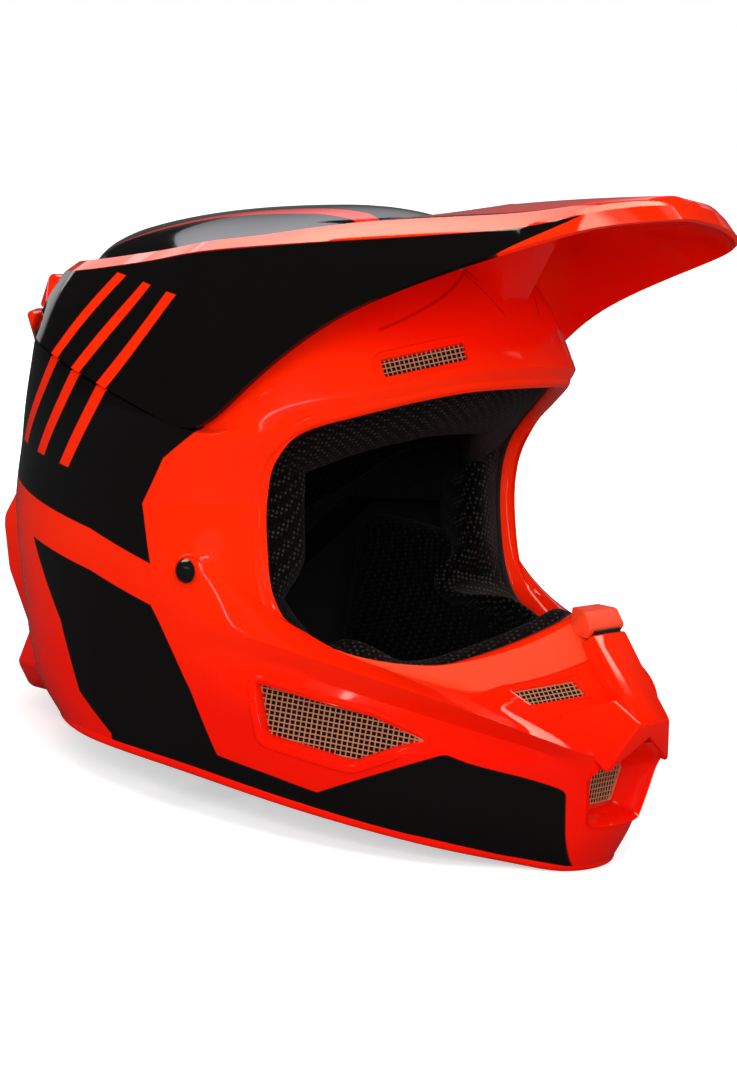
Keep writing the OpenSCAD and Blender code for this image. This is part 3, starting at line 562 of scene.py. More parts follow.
def bright_steel(place, uv):
    """Brushed steel."""
    stretched = place.node("Mapping", {}, {"Vector": place, "Scale": (40.0, 900.0, 900.0)})
    brushed = stretched.noise(1.0, 3.0)
    return {"Base Color": brushed.colours((0.5, 0.5, 0.51), (0.62, 0.62, 0.63)), "Metallic": 1.0,
            "Roughness": brushed * 0.15 + 0.2, "Normal": brushed.bump(0.06, 0.0001)}


def rivet_enamel(place, uv):
    """Glossy black enamel."""
    grain = place.noise(500.0)
    return {"Base Color": grain.colours((0.004, 0.004, 0.004), (0.009, 0.008, 0.008)),
            "Roughness": grain * 0.06 + 0.12, "Normal": grain.bump(0.05, 0.0002)}


shell_paint = finish("shell_paint", shell_pattern)
visor_paint = finish("visor_paint", visor_pattern)
plain_paint = finish("plain_paint", lacquer)
guard_rubber = finish("guard_rubber", rubber_orange)
seal_rubber = finish("seal_rubber", seal_black)
liner_foam = finish("liner_foam", foam_beads)
KNIT_PITCH = 0.0022
# One knit in two copies: lighter on the face band by the eyeport, where light falls, and darker on the
# pads deep inside, as painted shade
shaded_pad_knit = finish("shaded_pad_knit", lambda place, uv: knit(place, KNIT_PITCH, (0.008, 0.0075, 0.007)))
lit_band_knit = finish("lit_band_knit", lambda place, uv: knit(place, KNIT_PITCH, (0.034, 0.031, 0.029)))
strap_web = finish("strap_web", webbing_weave)
mesh_bronze = finish("mesh_bronze", bronze_wire)
ring_steel = finish("ring_steel", bright_steel)
rivet_black = finish("rivet_black", rivet_enamel)


# Outer shell: a ring of columns through the feature lines, smoothed between its edges
ROWS = []
for k, lines in enumerate(PATCHES):
    steps = 1 if len(lines) == 2 else 2
    ROWS += [(k, i / steps) for i in range((len(lines) - 1) * steps)]
ROWS.append((len(PATCHES) - 1, len(PATCHES[-1]) - 1))
PER_STATION = 3
RING = 2 * (len(RIM) - 1) * PER_STATION
# How sharp the edges are, by row: low line, panel, under, ridge, seam and ledge
EDGES = {2: 0.7, 4: 0.8, 5: 0.92, 6: 0.95, 14: 0.85, 15: 0.75}


def shell_place(i, j, share=1.0):
    """Corner of the shell's mesh: column i round the helmet and row j up from the rim."""
    k, t = ROWS[j]
    p = on_patch(k, min(i, RING - i) / PER_STATION, t)
    p = CORE + (p - CORE) * share
    return p if i <= RING // 2 else flip(p)


def shell_crease(a, b):
    """Crease of an edge; the lower ones fade out beside the eyeport, at stations 4.5 to 6."""
    row = round(a.y)
    if round(b.y) != row or row not in EDGES:
        return 0.0
    station = min(a.x, RING - a.x) / PER_STATION
    fade = 1.0 if row > 10 else max(0.0, min(1.0, (6.0 - station) / 1.5))
    return EDGES[row] * fade


def shell_skin(share=1.0):
    """The outer face of the shell, drawn in towards its core to a share of its size."""
    bm = grid(RING, len(ROWS) - 1, lambda i, j: shell_place(i, j, share))
    crease(bm, shell_crease)
    return without_poles(bm)


def shell_core(share):
    """The space inside the shell as a solid."""
    return closed(shell_skin(share))


shell = piece("shell", shell_skin(), shell_paint, stands_for=["outer_shell"])
shell.data.materials.append(seal_rubber)
settle(finer(shell, 2))
bpy.context.view_layer.update()
skin = BVHTree.FromObject(shell, bpy.context.evaluated_depsgraph_get())


def skin_at(p, way=None):
    """Nearest point of the shell's outer face, or the first one along a direction, and its normal."""
    hit = skin.ray_cast(p * MM, way) if way else skin.find_nearest(p * MM)
    return hit[0] / MM, hit[1]


def smooth_ways(ways, times=2):
    """Evens out a closed list of directions."""
    for _ in range(times):
        after = ways[1:] + ways[:1]
        ways = [(ways[i - 1] + 2 * w + after[i]).normalized() for i, w in enumerate(ways)]
    return ways


# Depth at which the face band begins
BAND_TOP = -8.5


def collar(loop, ways, profile, inward=None, shares=None):
    """Closed band round an opening; a profile pair goes away from its middle and out along the way.

    The inward directions take the place of the ways below the surface, and the shares say how
    far each place of the band reaches into the opening."""
    n = len(loop)
    middle = sum(loop, Vector()) / n
    sides = []
    for i in range(n):
        t = (loop[(i + 1) % n] - loop[i - 1]).normalized()
        sides.append(t.cross(ways[i]).normalized())
    if sum(s.dot(p - middle) for s, p in zip(sides, loop)) < 0:
        sides = [-s for s in sides]

    def place(i, j):
        i, (away, out) = i % n, profile[j % len(profile)]
        if shares:
            away = away * (shares[i] if away < 0 else 1)
            out = BAND_TOP + (out - BAND_TOP) * max(0.3, shares[i])
        deep = inward[i] * -out if inward and out < 0 else ways[i] * out
        return loop[i] + sides[i] * away + deep
    return grid(n, len(profile), place)


# Points of a loop per station of its line
LOOP_STEPS = 6


def rounded(outline, radius, steps=5, splits=8):
    """Closed outline with rounded corners and extra points along its sides."""
    made, n = [], len(outline)
    pts = [Vector(p) for p in outline]
    for i, p in enumerate(pts):
        a, b = pts[i - 1] - p, pts[(i + 1) % n] - p
        first, last = p + a.normalized() * radius, p + b.normalized() * radius
        for k in range(steps + 1):
            t = k / steps
            made.append(first * (1 - t) ** 2 + p * 2 * t * (1 - t) + last * t * t)
        ahead = p + b - b.normalized() * radius
        made += [last.lerp(ahead, k / splits) for k in range(1, splits)]
    return made


def looped(line):
    """Closed loop of points along a line of the left half and its mirror image."""
    half = [along(line, i / LOOP_STEPS) for i in range((len(line) - 1) * LOOP_STEPS + 1)]
    return half + [flip(p) for p in half[-2:0:-1]]


def mirrored(bm):
    """A shape turned over to the other side, its faces outwards."""
    bmesh.ops.scale(bm, vec=(1, -1, 1), verts=bm.verts)
    bmesh.ops.reverse_faces(bm, faces=bm.faces)
    return bm


def sided(bm, side):
    """A shape drawn for the left side, mirrored for the right."""
    return mirrored(bm) if side == "right" else bm


def joined(*parts):
    """One bmesh of several."""
    bm = bmesh.new()
    for part in parts:
        mesh = bpy.data.meshes.new("part")
        part.to_mesh(mesh)
        part.free()
        bm.from_mesh(mesh)
        bpy.data.meshes.remove(mesh)
    return bm


# Eyeport: the opening, its rolled lip and the seal inside the lip
PORT_BACK, PORT_DEEP = 18, 250
port_loop = looped(PORT)
port_cut = [Vector((PORT_BACK, p.y, p.z)) for p in port_loop]
seats = [skin_at(p) for p in port_loop]
port_loop = [p for p, n in seats]
port_ways = smooth_ways([n for p, n in seats], 10)
SHELL_WALL = 3.2
settle(thicken(shell, SHELL_WALL, inside=1))
cut(shell, prism(port_cut, Vector((PORT_DEEP, 0, 0))))
LIP = [(6.5, -0.9), (5.4, 0.1), (3.6, 0.75), (1.6, 0.75), (-0.2, -0.1), (-1.4, -1.8), (-1.9, -4.2),
       (-1.9, -7.5), (-1.2, -8.2), (1.5, -8.2), (2.2, -6.5), (2.4, -3.5)]
lip = collar(port_loop, port_ways, LIP)
finer(piece("eyeport_lip", lip, plain_paint, sharp=80), 1)
SEAL = [(-1.2, -7.2), (-2.6, -7.6), (-3.0, -8.6), (-2.8, -10.2), (-1.6, -11), (0.4, -11), (1, -9.6),
        (0.6, -7.8)]
seal = collar(port_loop, port_ways, SEAL)
finer(piece("eyeport_seal", seal, seal_rubber, stands_for=["eyeport_trim"], sharp=80), 1)

# Side vents: the opening, its bevelled frame, the net behind it and a filter behind the net
VENT = [(46, 69), (54, 44), (93, 40), (121, 57), (98, 64)]
VENT_MIDDLE = (82, 55)
VENT_SIDE, VENT_RUN, VENT_TAPER, VENT_REACH = 121, 75, 29, 30
VENT_NET_DEPTH, VENT_FILTER_DEPTH, FILTER_WALL = 6, 8.5, 2.5
VENT_OUT = Vector((VENT_TAPER, VENT_RUN, 0)).normalized()
FRAME = [(3.4, -0.8), (2.6, 0.2), (1.2, 0.35), (0.1, -0.2), (-1.0, -1.6), (-2.2, -6.2), (-2.2, -8.5),
         (0.6, -8.5), (0.8, -2.5)]


def vent_spot(p):
    """Point of the side vent's plane, which nears the middle towards the front."""
    return Vector((p[0], VENT_SIDE - VENT_TAPER * (p[0] - VENT[0][0]) / VENT_RUN, p[1]))


def net(outline, spot, out, depth, pitch=2.3, wire=0.62):
    """Square wire net inside a convex outline, laid on a plane behind the surface."""
    xs, ys = [p[0] for p in outline], [p[1] for p in outline]
    wide, high = max(xs) - min(xs), max(ys) - min(ys)
    bm = bmesh.new()
    columns, rows = math.ceil(wide / pitch), math.ceil(high / pitch)
    bmesh.ops.create_grid(bm, x_segments=columns, y_segments=rows, size=0.5)
    for v in bm.verts:
        x, y = (v.co.x + 0.5) * columns * pitch, (v.co.y + 0.5) * rows * pitch
        v.co = Vector((x + min(xs), y + min(ys), 0))
    middle = Vector((sum(xs) / len(xs), sum(ys) / len(ys), 0))
    for a, b in zip(outline, list(outline[1:]) + [outline[0]]):
        way = Vector((b[1] - a[1], a[0] - b[0], 0)).normalized()
        way = way if way.dot(middle - Vector((a[0], a[1], 0))) < 0 else -way
        bmesh.ops.bisect_plane(bm, geom=bm.verts[:] + bm.edges[:] + bm.faces[:],
                               plane_co=(a[0], a[1], 0), plane_no=way, clear_outer=True)
    bmesh.ops.remove_doubles(bm, verts=bm.verts, dist=0.05)
    bmesh.ops.wireframe(bm, faces=bm.faces[:], thickness=wire, offset=0, use_replace=True,
                        use_boundary=True, use_even_offset=True)
    for v in bm.verts:
        v.co = spot(v.co) + out * (v.co.z - depth)
    return bm


def vent_pieces(name, side, rim, wires, pad, node):
    """The frame, the net and the filter of a vent on one side."""
    piece(name + "_frame_" + side, sided(rim, side), plain_paint, sharp=30)
    piece(name + "_net_" + side, sided(wires, side), mesh_bronze,
          stands_for=[node + side] if node else (), sharp=30)
    piece(name + "_filter_" + side, sided(pad, side), liner_foam, sharp=30)


vent_line = rounded(VENT, 3.5)
vent_far = [vent_spot(p) + VENT_OUT * VENT_REACH for p in vent_line]
vent_seats = [skin_at(p, -VENT_OUT)[0] for p in vent_far]
vent_net = [(x + (VENT_MIDDLE[0] - x) * 0.03, z + (VENT_MIDDLE[1] - z) * 0.04) for x, z in VENT]
for side in ("left", "right"):
    cut(shell, sided(prism(vent_far, VENT_OUT * (-2 * VENT_REACH)), side))
    rim = collar(vent_seats, [VENT_OUT] * len(vent_seats), FRAME)
    wires = net(vent_net, vent_spot, VENT_OUT, VENT_NET_DEPTH)
    pad = prism([vent_spot(p) - VENT_OUT * VENT_FILTER_DEPTH for p in vent_line], VENT_OUT * -FILTER_WALL)
    vent_pieces("side_vent", side, rim, wires, pad, "side_mesh_")

# Flat vents in shallow recesses: a pair on the forehead and a pair of slots above the mouth
FLAT_PITCH, FLAT_FILTER_GAP, FLAT_FILTER_WALL = 2.2, 1.5, 1.5
SLIM_FRAME = [(0.9, -0.3), (0.5, 0.25), (-0.2, 0.1), (-0.7, -0.8), (-0.9, -4), (0.5, -4)]


def seat_frame(low, high, s, ds, t, dt):
    """Origin, direction along, direction up and direction out of a flat vent on the shell."""
    at = between(low, high, s, t)
    run = (between(low, high, s + ds, t) - between(low, high, s - ds, t)).normalized()
    up = between(low, high, s, t + dt) - at
    out = run.cross(up).normalized()
    return at, run, out.cross(run).normalized(), out


def flat_vent(name, node, seat, outline, recess, depth, net_depth):
    """A pair of vents, each sunk into the shell by a depth; the seat is what seat_frame takes."""
    at, run, up, out = seat_frame(*seat)
    if out.dot(at - CORE) < 0:
        out = -out

    def spot(p):
        return at + run * p[0] + up * p[1]
    hollow = [spot(p * 1.12) + out * 6 for p in rounded(recess, 3.0, 4, 4)]
    line = rounded(outline, 1.5, 3, 6)
    edge = [spot(p) - out * depth for p in line]
    for side in ("left", "right"):
        cut(shell, sided(prism(hollow, out * -(6 + depth), 0.84), side))
        cut(shell, sided(prism([spot(p) + out * 10 for p in line], out * -40), side))
        rim = collar(edge, [out] * len(edge), SLIM_FRAME)
        wires = net([(p[0] * 0.98, p[1] * 0.96) for p in outline], spot, out, net_depth, FLAT_PITCH)
        pad = prism([spot(p) - out * (net_depth + FLAT_FILTER_GAP) for p in line], out * -FLAT_FILTER_WALL)
        vent_pieces(name, side, rim, wires, pad, node)


flat_vent("brow_vent", "brow_mesh_", (LEDGE, UPPER, 2.1, 0.5, 0.36, 0.28),
          [(-20, -4.5), (20, -4.5), (20, 4.5), (-20, 4.5)],
          [(-24, -7), (27, -8), (23, 7.5), (-22, 8)], 1.6, 3.2)
flat_vent("mouth_slot", None, (SHELF, PORT_LOW, 1.15, 0.45, 0.1, 0.25),
          [(-18, -5), (11, -5), (18, 5), (-14, 5)],
          [(-22, -7.5), (16, -7.5), (23, 6.5), (-18, 6.5)], 1.2, 2.6)

# Mouth opening, its duct, and the net and filter at the end of the duct
MOUTH = [(-28, 47), (-24, 53), (-8, 61), (8, 61), (24, 53), (28, 47), (21, 24), (-21, 24)]
MOUTH_Z = 38
DUCT_END, DUCT_DEEP, DUCT_FRONT = 157, 25, 176
MOUTH_BACK, MOUTH_DEEP = 130, 80
DUCT = [(1.05, 1.5), (1.02, 0.6), (0.99, 0.1), (0.96, -1.2), (0.93, -3), (0.80, -14), (0.66, -25),
        (0.62, -25), (0.78, -13), (0.97, -5)]
mouth_line = rounded(MOUTH, 2.5, 4, 5)
cut(shell, prism([Vector((MOUTH_BACK, p.x, p.y)) for p in mouth_line], Vector((MOUTH_DEEP, 0, 0))))


def drawn_in(p, share):
    """A point of the mouth's outline, drawn in towards the middle."""
    return p[0] * share, MOUTH_Z + (p[1] - MOUTH_Z) * share


def duct_place(i, j):
    """Funnel from the shell's face to the net and back along its outside."""
    p = mouth_line[i % len(mouth_line)]
    share, back = DUCT[j % len(DUCT)]
    front = min(skin_at(Vector((240, p.x, p.y)), Vector((-1, 0, 0)))[0].x, DUCT_FRONT)
    deep = DUCT_END + (DUCT_DEEP + back) * (front - DUCT_END) / DUCT_DEEP
    return Vector((front + back if back > -10 else deep, *drawn_in(p, share)))


piece("mouth_duct", grid(len(mouth_line), len(DUCT), duct_place), plain_paint,
      stands_for=["mouth_duct"], sharp=45)
mouth_net = net([drawn_in(p, 0.64) for p in MOUTH], lambda p: Vector((DUCT_END + 1, p[0], p[1])),
                Vector((1, 0, 0)), 0)
piece("mouth_net", mouth_net, mesh_bronze, stands_for=["mouth_meshes"], sharp=30)
filter_pad = [Vector((DUCT_END - 1.4, *drawn_in(p, 0.67))) for p in mouth_line]
piece("mouth_filter", prism(filter_pad, Vector((-FILTER_WALL, 0, 0))), liner_foam, sharp=30)
keep_sharp(shell, 30)

# Trim along the rim
rim_loop = looped(RIM)
TRIM = [(1.0, 1.2), (0.6, 0.3), (-0.2, 0.0), (-3.6, 0.0), (-4.4, 0.6), (-4.5, 3.2), (-4.0, 4.0),
        (-1.0, 4.2), (0.6, 4.1), (1.0, 3.5)]


def trim_place(i, j):
    """Bead round the rim, lying flat where the rim touches the ground."""
    n = len(rim_loop)
    d = rim_loop[(i + 1) % n] - rim_loop[i % n - 1]
    out = Vector((d.y, -d.x, 0)).normalized()
    away, high = TRIM[j % len(TRIM)]
    p = rim_loop[i % n] + out * away
    return Vector((p.x, p.y, max(0.0, p.z) + high))


finer(piece("rim_trim", grid(len(rim_loop), len(TRIM), trim_place), plain_paint,
            stands_for=["rim_trim"], sharp=80), 1)

# Visor: a winged brim, drawn for the left half and mirrored
stations = [5, 5.5, 6, 6.5, 7, 7.5, 8]
edge_row = BRIM_EDGE + [along(SEAM, s) + Vector((0, 0.8, 1.1)) for s in stations]
fold_row = BRIM_CREASE + [along(WING_CREASE, s - 5) for s in stations]
wing_fold = fold_row[len(BRIM_CREASE):]
top_row = BRIM_TOP + [p + Vector((2, -7.5, 5.5)) for p in wing_fold]
roof_row = BRIM_ROOF + [p + Vector((3, -12, 5.8)) for p in wing_fold]


def visor_place(i, j):
    """Rows from the lower edge over the crease to the roof; the wing swells from station 3 to 6."""
    s = i / 2
    e, c, t, r = [free_along(row, s) for row in (edge_row, fold_row, top_row, roof_row)]
    swell = min(1, max(0, (s - 3) / 3)) * Vector((0, 2.6, 1.2))
    rise = Vector((0, 0, 2.5 * (1 - s / 6) if s < 6 else 0))
    p = [e, e.lerp(c, 0.5) + swell, c, t, t.lerp(r, 0.5) + rise, r][j]
    return Vector((p.x, 0, p.z)) if abs(p.y) < 0.3 else p


bm = grid(2 * VISOR_STATIONS, VISOR_ROWS, visor_place)
bmesh.ops.mirror(bm, geom=bm.verts[:] + bm.edges[:] + bm.faces[:], matrix=Matrix.Identity(4),
                 merge_dist=0.02, axis="Y")
bmesh.ops.remove_doubles(bm, verts=bm.verts, dist=0.05)
without_poles(bm)
FOLDS = {2: 1.0, 3: 0.9}
crease(bm, lambda a, b: FOLDS.get(round(a.y), 0.0) if round(a.y) == round(b.y) else 0.0)
visor = piece("visor_shell", bm, visor_paint, "visor_body", ["visor"], sharp=80)
visor.data.materials.append(plain_paint)
VISOR_WALL = 2.4
settle(thicken(finer(visor, 2), VISOR_WALL, inside=1))
settle(soften(visor, 0.7, 60))
keep_sharp(visor, 16)

boss = block([(74, 10, 243), (81, 28, 287), (60, 26, 256), (54, 16, 274)], 1.2)
piece("visor_boss", boss, plain_paint, "visor_body", ["visor_mount"], sharp=30)


# Nose guard on the chin bar, with its raised block and the slot under the block
GUARD_LOW = [(0, 0.6), (0.5, 0.64), (0.62, 0.82), (0.73, 0.95), (0.85, 0.55), (1, 0.12)]
GUARD_TOP, GUARD_END = 0.06, 3.3
GUARD_HALF, GUARD_ROWS, GUARD_WALL = 28, 5, 2.2


def guard_place(i, j):
    """Rows down from the eyeport to the shares of GUARD_LOW; the ends sink into the shell."""
    k = abs(i - GUARD_HALF) / GUARD_HALF
    (a, low), (b, high) = next((p, q) for p, q in zip(GUARD_LOW, GUARD_LOW[1:]) if k <= q[0])
    low += (high - low) * (k - a) / (b - a)
    t = GUARD_TOP + (low - GUARD_TOP) * j / GUARD_ROWS
    q, n = skin_at(between(PORT_LOW, SHELF, GUARD_END * k, t))
    p = q + n * ((1.3 + 1.2 * math.sin(math.pi * j / GUARD_ROWS)) * (1 - k ** 8) - 1.2 * k ** 8)
    return p if i >= GUARD_HALF else flip(p)


guard = piece("nose_guard", grid(2 * GUARD_HALF, GUARD_ROWS, guard_place), guard_rubber,
              stands_for=["nose_guard"], sharp=80)
settle(thicken(finer(guard, 1), GUARD_WALL, even=False))
soften(guard, 0.6, 50)
guard_top = block([(136, 11, 116), (145, 14, 116), (150, 15, 109), (138, 13, 104), (148, 13, 104)], 0.9)
piece("nose_guard_block", guard_top, guard_rubber, sharp=30)
slot_box = block([(x, 11, z) for x in (146, 150.6) for z in (104, 108.2)], 0.5)
piece("nose_guard_slot", slot_box, seal_rubber, sharp=30)

# Beak over the mouth opening, its lower edge cut to an arch
beak = block([(151, 14, 107), (182, 13, 73), (141, 12, 98), (166, 10, 67)], 1.3)
piece("beak", beak, plain_paint, stands_for=["mouth_vent"], sharp=30)
BEAK_SIDES = [(182, 13, 73), (169, 19, 82), (153, 40, 72), (177, 27, 51), (170, 24, 52), (150, 18, 66)]
sides = piece("beak_sides", block(BEAK_SIDES, 1.3), plain_paint, sharp=30)
ARCH = [(-25, 30), (-25, 51), (-21, 54.5), (0, 66), (21, 54.5), (25, 51), (25, 30)]
cut(sides, prism([Vector((140, y, z)) for y, z in ARCH], Vector((60, 0, 0))))
keep_sharp(sides, 30)

# Rear spoiler and diffuser, each with a lip; what would reach inside the shell is cut off
spoiler = block([(-150, 46, 214), (-166, 40, 212), (-179, 18, 206), (-166, 44, 196), (-178, 20, 190),
                 (-152, 56, 200)], 1.4)
spoiler = piece("rear_spoiler", spoiler, plain_paint, stands_for=["rear_spoiler"], sharp=30)
spoiler_lip = block([(-163, 57, 194), (-182, 28, 192), (-182, 27, 184), (-175, 32, 175), (-156, 60, 187),
                     (-153, 62, 196)], 1.4)
spoiler_lip = piece("rear_spoiler_lip", spoiler_lip, plain_paint, sharp=30)
diffuser = block([(-168, 30, 113), (-160, 48, 109), (-180, 18, 90), (-171, 44, 90), (-174, 16, 64),
                  (-164, 43, 66), (-154, 16, 37), (-147, 41, 39), (-135, 50, 60), (-145, 50, 100)], 1.6)
diffuser = piece("rear_diffuser", diffuser, plain_paint, stands_for=["rear_diffuser"],
                 sharp=30)
EXHAUST_Z, EXHAUST_CORNERS = 66, [(-8, -7), (8, -7), (8, 7), (-8, 7)]
for y in (-26, 0, 26):
    hole = [Vector((-200, y + a, EXHAUST_Z + b)) for a, b in EXHAUST_CORNERS]
    cut(diffuser, prism(hole, Vector((35, 0, 0))))
lower_lip = block([(-154, 16, 39), (-147, 41, 41), (-160, 16, 20), (-154, 39, 21), (-150, 32, 9),
                   (-124, 52, 26), (-114, 30, 10), (-122, 40, 40)], 1.6)
lower_lip = piece("rear_diffuser_lip", lower_lip, plain_paint, sharp=30)
for part in (spoiler, spoiler_lip, diffuser, lower_lip):
    cut(part, shell_core(0.985))
    keep_sharp(part, 30)

# Shallow rings round the strap rivets
RIVET_X, RIVET_Z, SEAT_RADIUS, SEAT_STEPS = 6, 110, 6.6, 32
SEAT = [(1.1, -0.5), (0.6, 0.35), (0.0, 0.45), (-0.6, 0.2), (-0.9, -0.6)]
turns = [k * math.tau / SEAT_STEPS for k in range(SEAT_STEPS)]
seats = [skin_at(Vector((RIVET_X + SEAT_RADIUS * math.cos(a), 160, RIVET_Z + SEAT_RADIUS * math.sin(a))),
                 Vector((0, -1, 0))) for a in turns]
for side in ("left", "right"):
    ring = collar([p for p, n in seats], smooth_ways([n for p, n in seats], 6), SEAT)
    piece("rivet_seat_" + side, sided(ring, side), plain_paint, sharp=80)

# Foam and lining inside the shell, round the middle and the half measures of the head space
HEAD = Vector((-28, 0, 149))
HEAD_LONG, HEAD_WIDE, HEAD_HIGH, NECK_DEEP = 107, 87, 88, 150


def head_form():
    """The head space as a solid: a dome above a straight neck."""
    bm = bmesh.new()
    bmesh.ops.create_uvsphere(bm, u_segments=64, v_segments=48, radius=1)
    for v in bm.verts:
        up, down = max(v.co.z, 0) * HEAD_HIGH, min(v.co.z, 0) * NECK_DEEP
        v.co = Vector((HEAD.x + v.co.x * HEAD_LONG, v.co.y * HEAD_WIDE, HEAD.z + up + down))
        if 3 < v.co.z < HEAD.z:
            r = max(0.001, math.hypot((v.co.x - HEAD.x) / HEAD_LONG, v.co.y / HEAD_WIDE))
            v.co.x, v.co.y = HEAD.x + (v.co.x - HEAD.x) / r, v.co.y / r
    return bm


LINER_SIDE = [(74, 221), (40, 199), (16, 183), (4, 157), (-4, 129), (-60, 119), (-105, 53), (-190, 47),
              (-190, 287), (60, 287)]
liner = piece("impact_liner", shell_core(0.955), liner_foam, stands_for=["impact_liner"])
cut(liner, prism([Vector((x, -200, z)) for x, z in LINER_SIDE], Vector((0, 400, 0))), keep=True)
cut(liner, head_form())
keep_sharp(liner, 30)

CHIN_START, CHIN_STEP = 1.5, 0.18
CHIN_ROWS = [(0.94, 0.0), (0.94, 0.5), (0.94, 1.0), (0.90, 1.06), (0.85, 1.0), (0.83, 0.5),
             (0.85, 0.0), (0.90, -0.06)]


def chin_place(i, j):
    """Foam bar behind the jaw, between shares of the way from the core to the shell."""
    share, t = CHIN_ROWS[j % len(CHIN_ROWS)]
    p = between(LOW, UNDER, CHIN_START + i * CHIN_STEP, t)
    q = CORE + (p - CORE) * share
    return Vector((q.x, q.y, p.z + 2))


bm = closed(grid(12, len(CHIN_ROWS), chin_place))
chin_foam = piece("chin_liner", joined(bm, mirrored(bm.copy())), liner_foam,
                  stands_for=["chin_liner"], sharp=60)
finer(chin_foam, 1)

PAD_LONG, PAD_WIDE, PAD_HIGH = 105, 85, 86
PAD_COLUMNS, PAD_ROWS, PAD_WALL = 56, 18, 7


def crown_place(i, j):
    """Dome down to a slanting edge, with grooves along the seams of its quilting."""
    a = math.tau * (i % PAD_COLUMNS) / PAD_COLUMNS
    c, s = math.cos(a), math.sin(a)
    low = HEAD.z + 1 + (40 if c > 0 else 88) * c
    quarter = math.pi / 2
    if low > HEAD.z:
        reach = math.acos((low - HEAD.z) / PAD_HIGH)
    else:
        reach = quarter + (HEAD.z - low) / PAD_HIGH
    w = reach * j / PAD_ROWS
    r = math.sin(min(w, quarter))
    x, y = HEAD.x + PAD_LONG * r * c, PAD_WIDE * r * s
    z = HEAD.z + PAD_HIGH * math.cos(w) if w < quarter else HEAD.z - PAD_HIGH * (w - quarter)
    dips = [math.exp(-((z - low) / 3) ** 2)]
    if z > HEAD.z + 1:
        dips += [math.exp(-((y - k) / 4.5) ** 2) for k in (-42, 0, 42)]
        dips.append(math.exp(-((x + 30) / 4.5) ** 2))
    return HEAD + (Vector((x, y, z)) - HEAD) * (0.985 + 0.018 * max(dips))


crown = grid(PAD_COLUMNS, PAD_ROWS, crown_place)
crown = piece("crown_pad", crown, shaded_pad_knit, stands_for=["crown_pad"], sharp=80)
finer(thicken(crown, PAD_WALL), 1)


PUFF_FRAMES = 20


def puff(pad, reach, pressure=4.0):
    """Blows a pad up with the cloth solver, each point by at most reach millimetres."""
    m = pad.modifiers.new("Even", "REMESH")
    m.mode, m.voxel_size = "VOXEL", 5 * MM
    settle(pad)
    start = [v.co.copy() for v in pad.data.vertices]
    cloth = pad.modifiers.new("Swell", "CLOTH")
    cloth.settings.use_pressure = True
    cloth.settings.uniform_pressure_force = pressure
    cloth.settings.effector_weights.gravity = 0
    cloth.settings.quality = 4
    cloth.point_cache.frame_start, cloth.point_cache.frame_end = 1, PUFF_FRAMES
    for frame_number in range(1, PUFF_FRAMES + 1):
        scene.frame_set(frame_number)
    settle(pad)
    scene.frame_set(1)
    for v, p in zip(pad.data.vertices, start):
        step = v.co - p
        v.co = p + step * min(1.0, reach * MM / max(step.length, 1e-9))
    for f in pad.data.polygons:
        f.use_smooth = True
    finer(pad, 1)


# Balls that a cheek pad is stretched over: middle and radius
CHEEK = [(-34, 82, 104, 12), (2, 82, 104, 12), (40, 80, 70, 12), (60, 74, 61, 9), (56, 75, 48, 9),
         (-34, 82, 50, 12), (-10, 86, 77, 13), (26, 85, 65, 13)]
for side in ("left", "right"):
    bm = bmesh.new()
    for x, y, z, r in CHEEK:
        for spread in (0, 5):
            place = Matrix.Translation((x, (y + spread) * (1 if side == "left" else -1), z))
            bmesh.ops.create_icosphere(bm, subdivisions=2, radius=r, matrix=place)
    pad = piece("cheek_pad_" + side, hulled(bm), shaded_pad_knit, stands_for=["cheek_pad_" + side])
    puff(pad, 4)

# Padded band round the inside of the eyeport, drawn back along its lower side
inward = smooth_ways([(Vector((-0.75, 0, 0)) - w * 0.65).normalized() for w in port_ways], 6)
BAND = [(0.6, -8.5), (-4, -9.5), (-15, -14.5), (-26, -21.5), (-34, -28), (-35, -34), (-28, -38),
        (-10, -38), (4, -36), (10, -33), (10.5, -24), (8, -14), (4.5, -8.5)]
band_share = []
for i in range(len(port_loop)):
    s = min(i, len(port_loop) - i) / LOOP_STEPS
    band_share.append(min(1.0, max(0.08, 1 - (s - 9.2) * 0.6)))
band = collar(port_loop, port_ways, BAND, inward, band_share)
band = piece("face_band", band, lit_band_knit, sharp=80)
finer(band, 1)

NECK_STEPS, NECK_SIDES, NECK_RADIUS = 21, 16, 8.8
neck_half = []
for i in range(NECK_STEPS + 1):
    p = between(RIM, LOW, 9 - i * 2.5 / NECK_STEPS, 0.85)
    q = CORE + (p - CORE) * 0.885
    neck_half.append(Vector((q.x, q.y, p.z + 4)))
neck_path = neck_half[:0:-1] + [flip(p) for p in neck_half]


def neck_place(i, j):
    """Roll along the rear of the rim, rounded off at both ends."""
    n = len(neck_path) - 1
    t = (neck_path[min(i + 1, n)] - neck_path[max(i - 1, 0)]).normalized()
    side = t.cross(Vector((0, 0, 1))).normalized()
    up = side.cross(t)
    a = math.tau * (j % NECK_SIDES) / NECK_SIDES
    end = min(i, n - i)
    r = NECK_RADIUS * math.sin(min(1.0, (end + 0.15) / 2.5) * math.pi / 2) * (1 - 0.02 * (i % 2))
    return neck_path[i] + (side * math.cos(a) + up * math.sin(a)) * r


bm = closed(grid(len(neck_path) - 1, NECK_SIDES, neck_place))
neck = piece("neck_roll", bm, shaded_pad_knit, stands_for=["neck_roll"], sharp=80)
finer(neck, 1)


# Chin strap: two webbing bands, the short one with a loop for the two rings
STRAP = [(110, 116), (110, 68), (107, 45), (105, 26), (92, 14), (76, 9.5)]
STRAP_STEPS = 48
WEB = [(-11, -0.5), (-11, 0.5), (-10.6, 0.8), (10.6, 0.8), (11, 0.5), (11, -0.5), (10.6, -0.8),
       (-10.6, -0.8)]


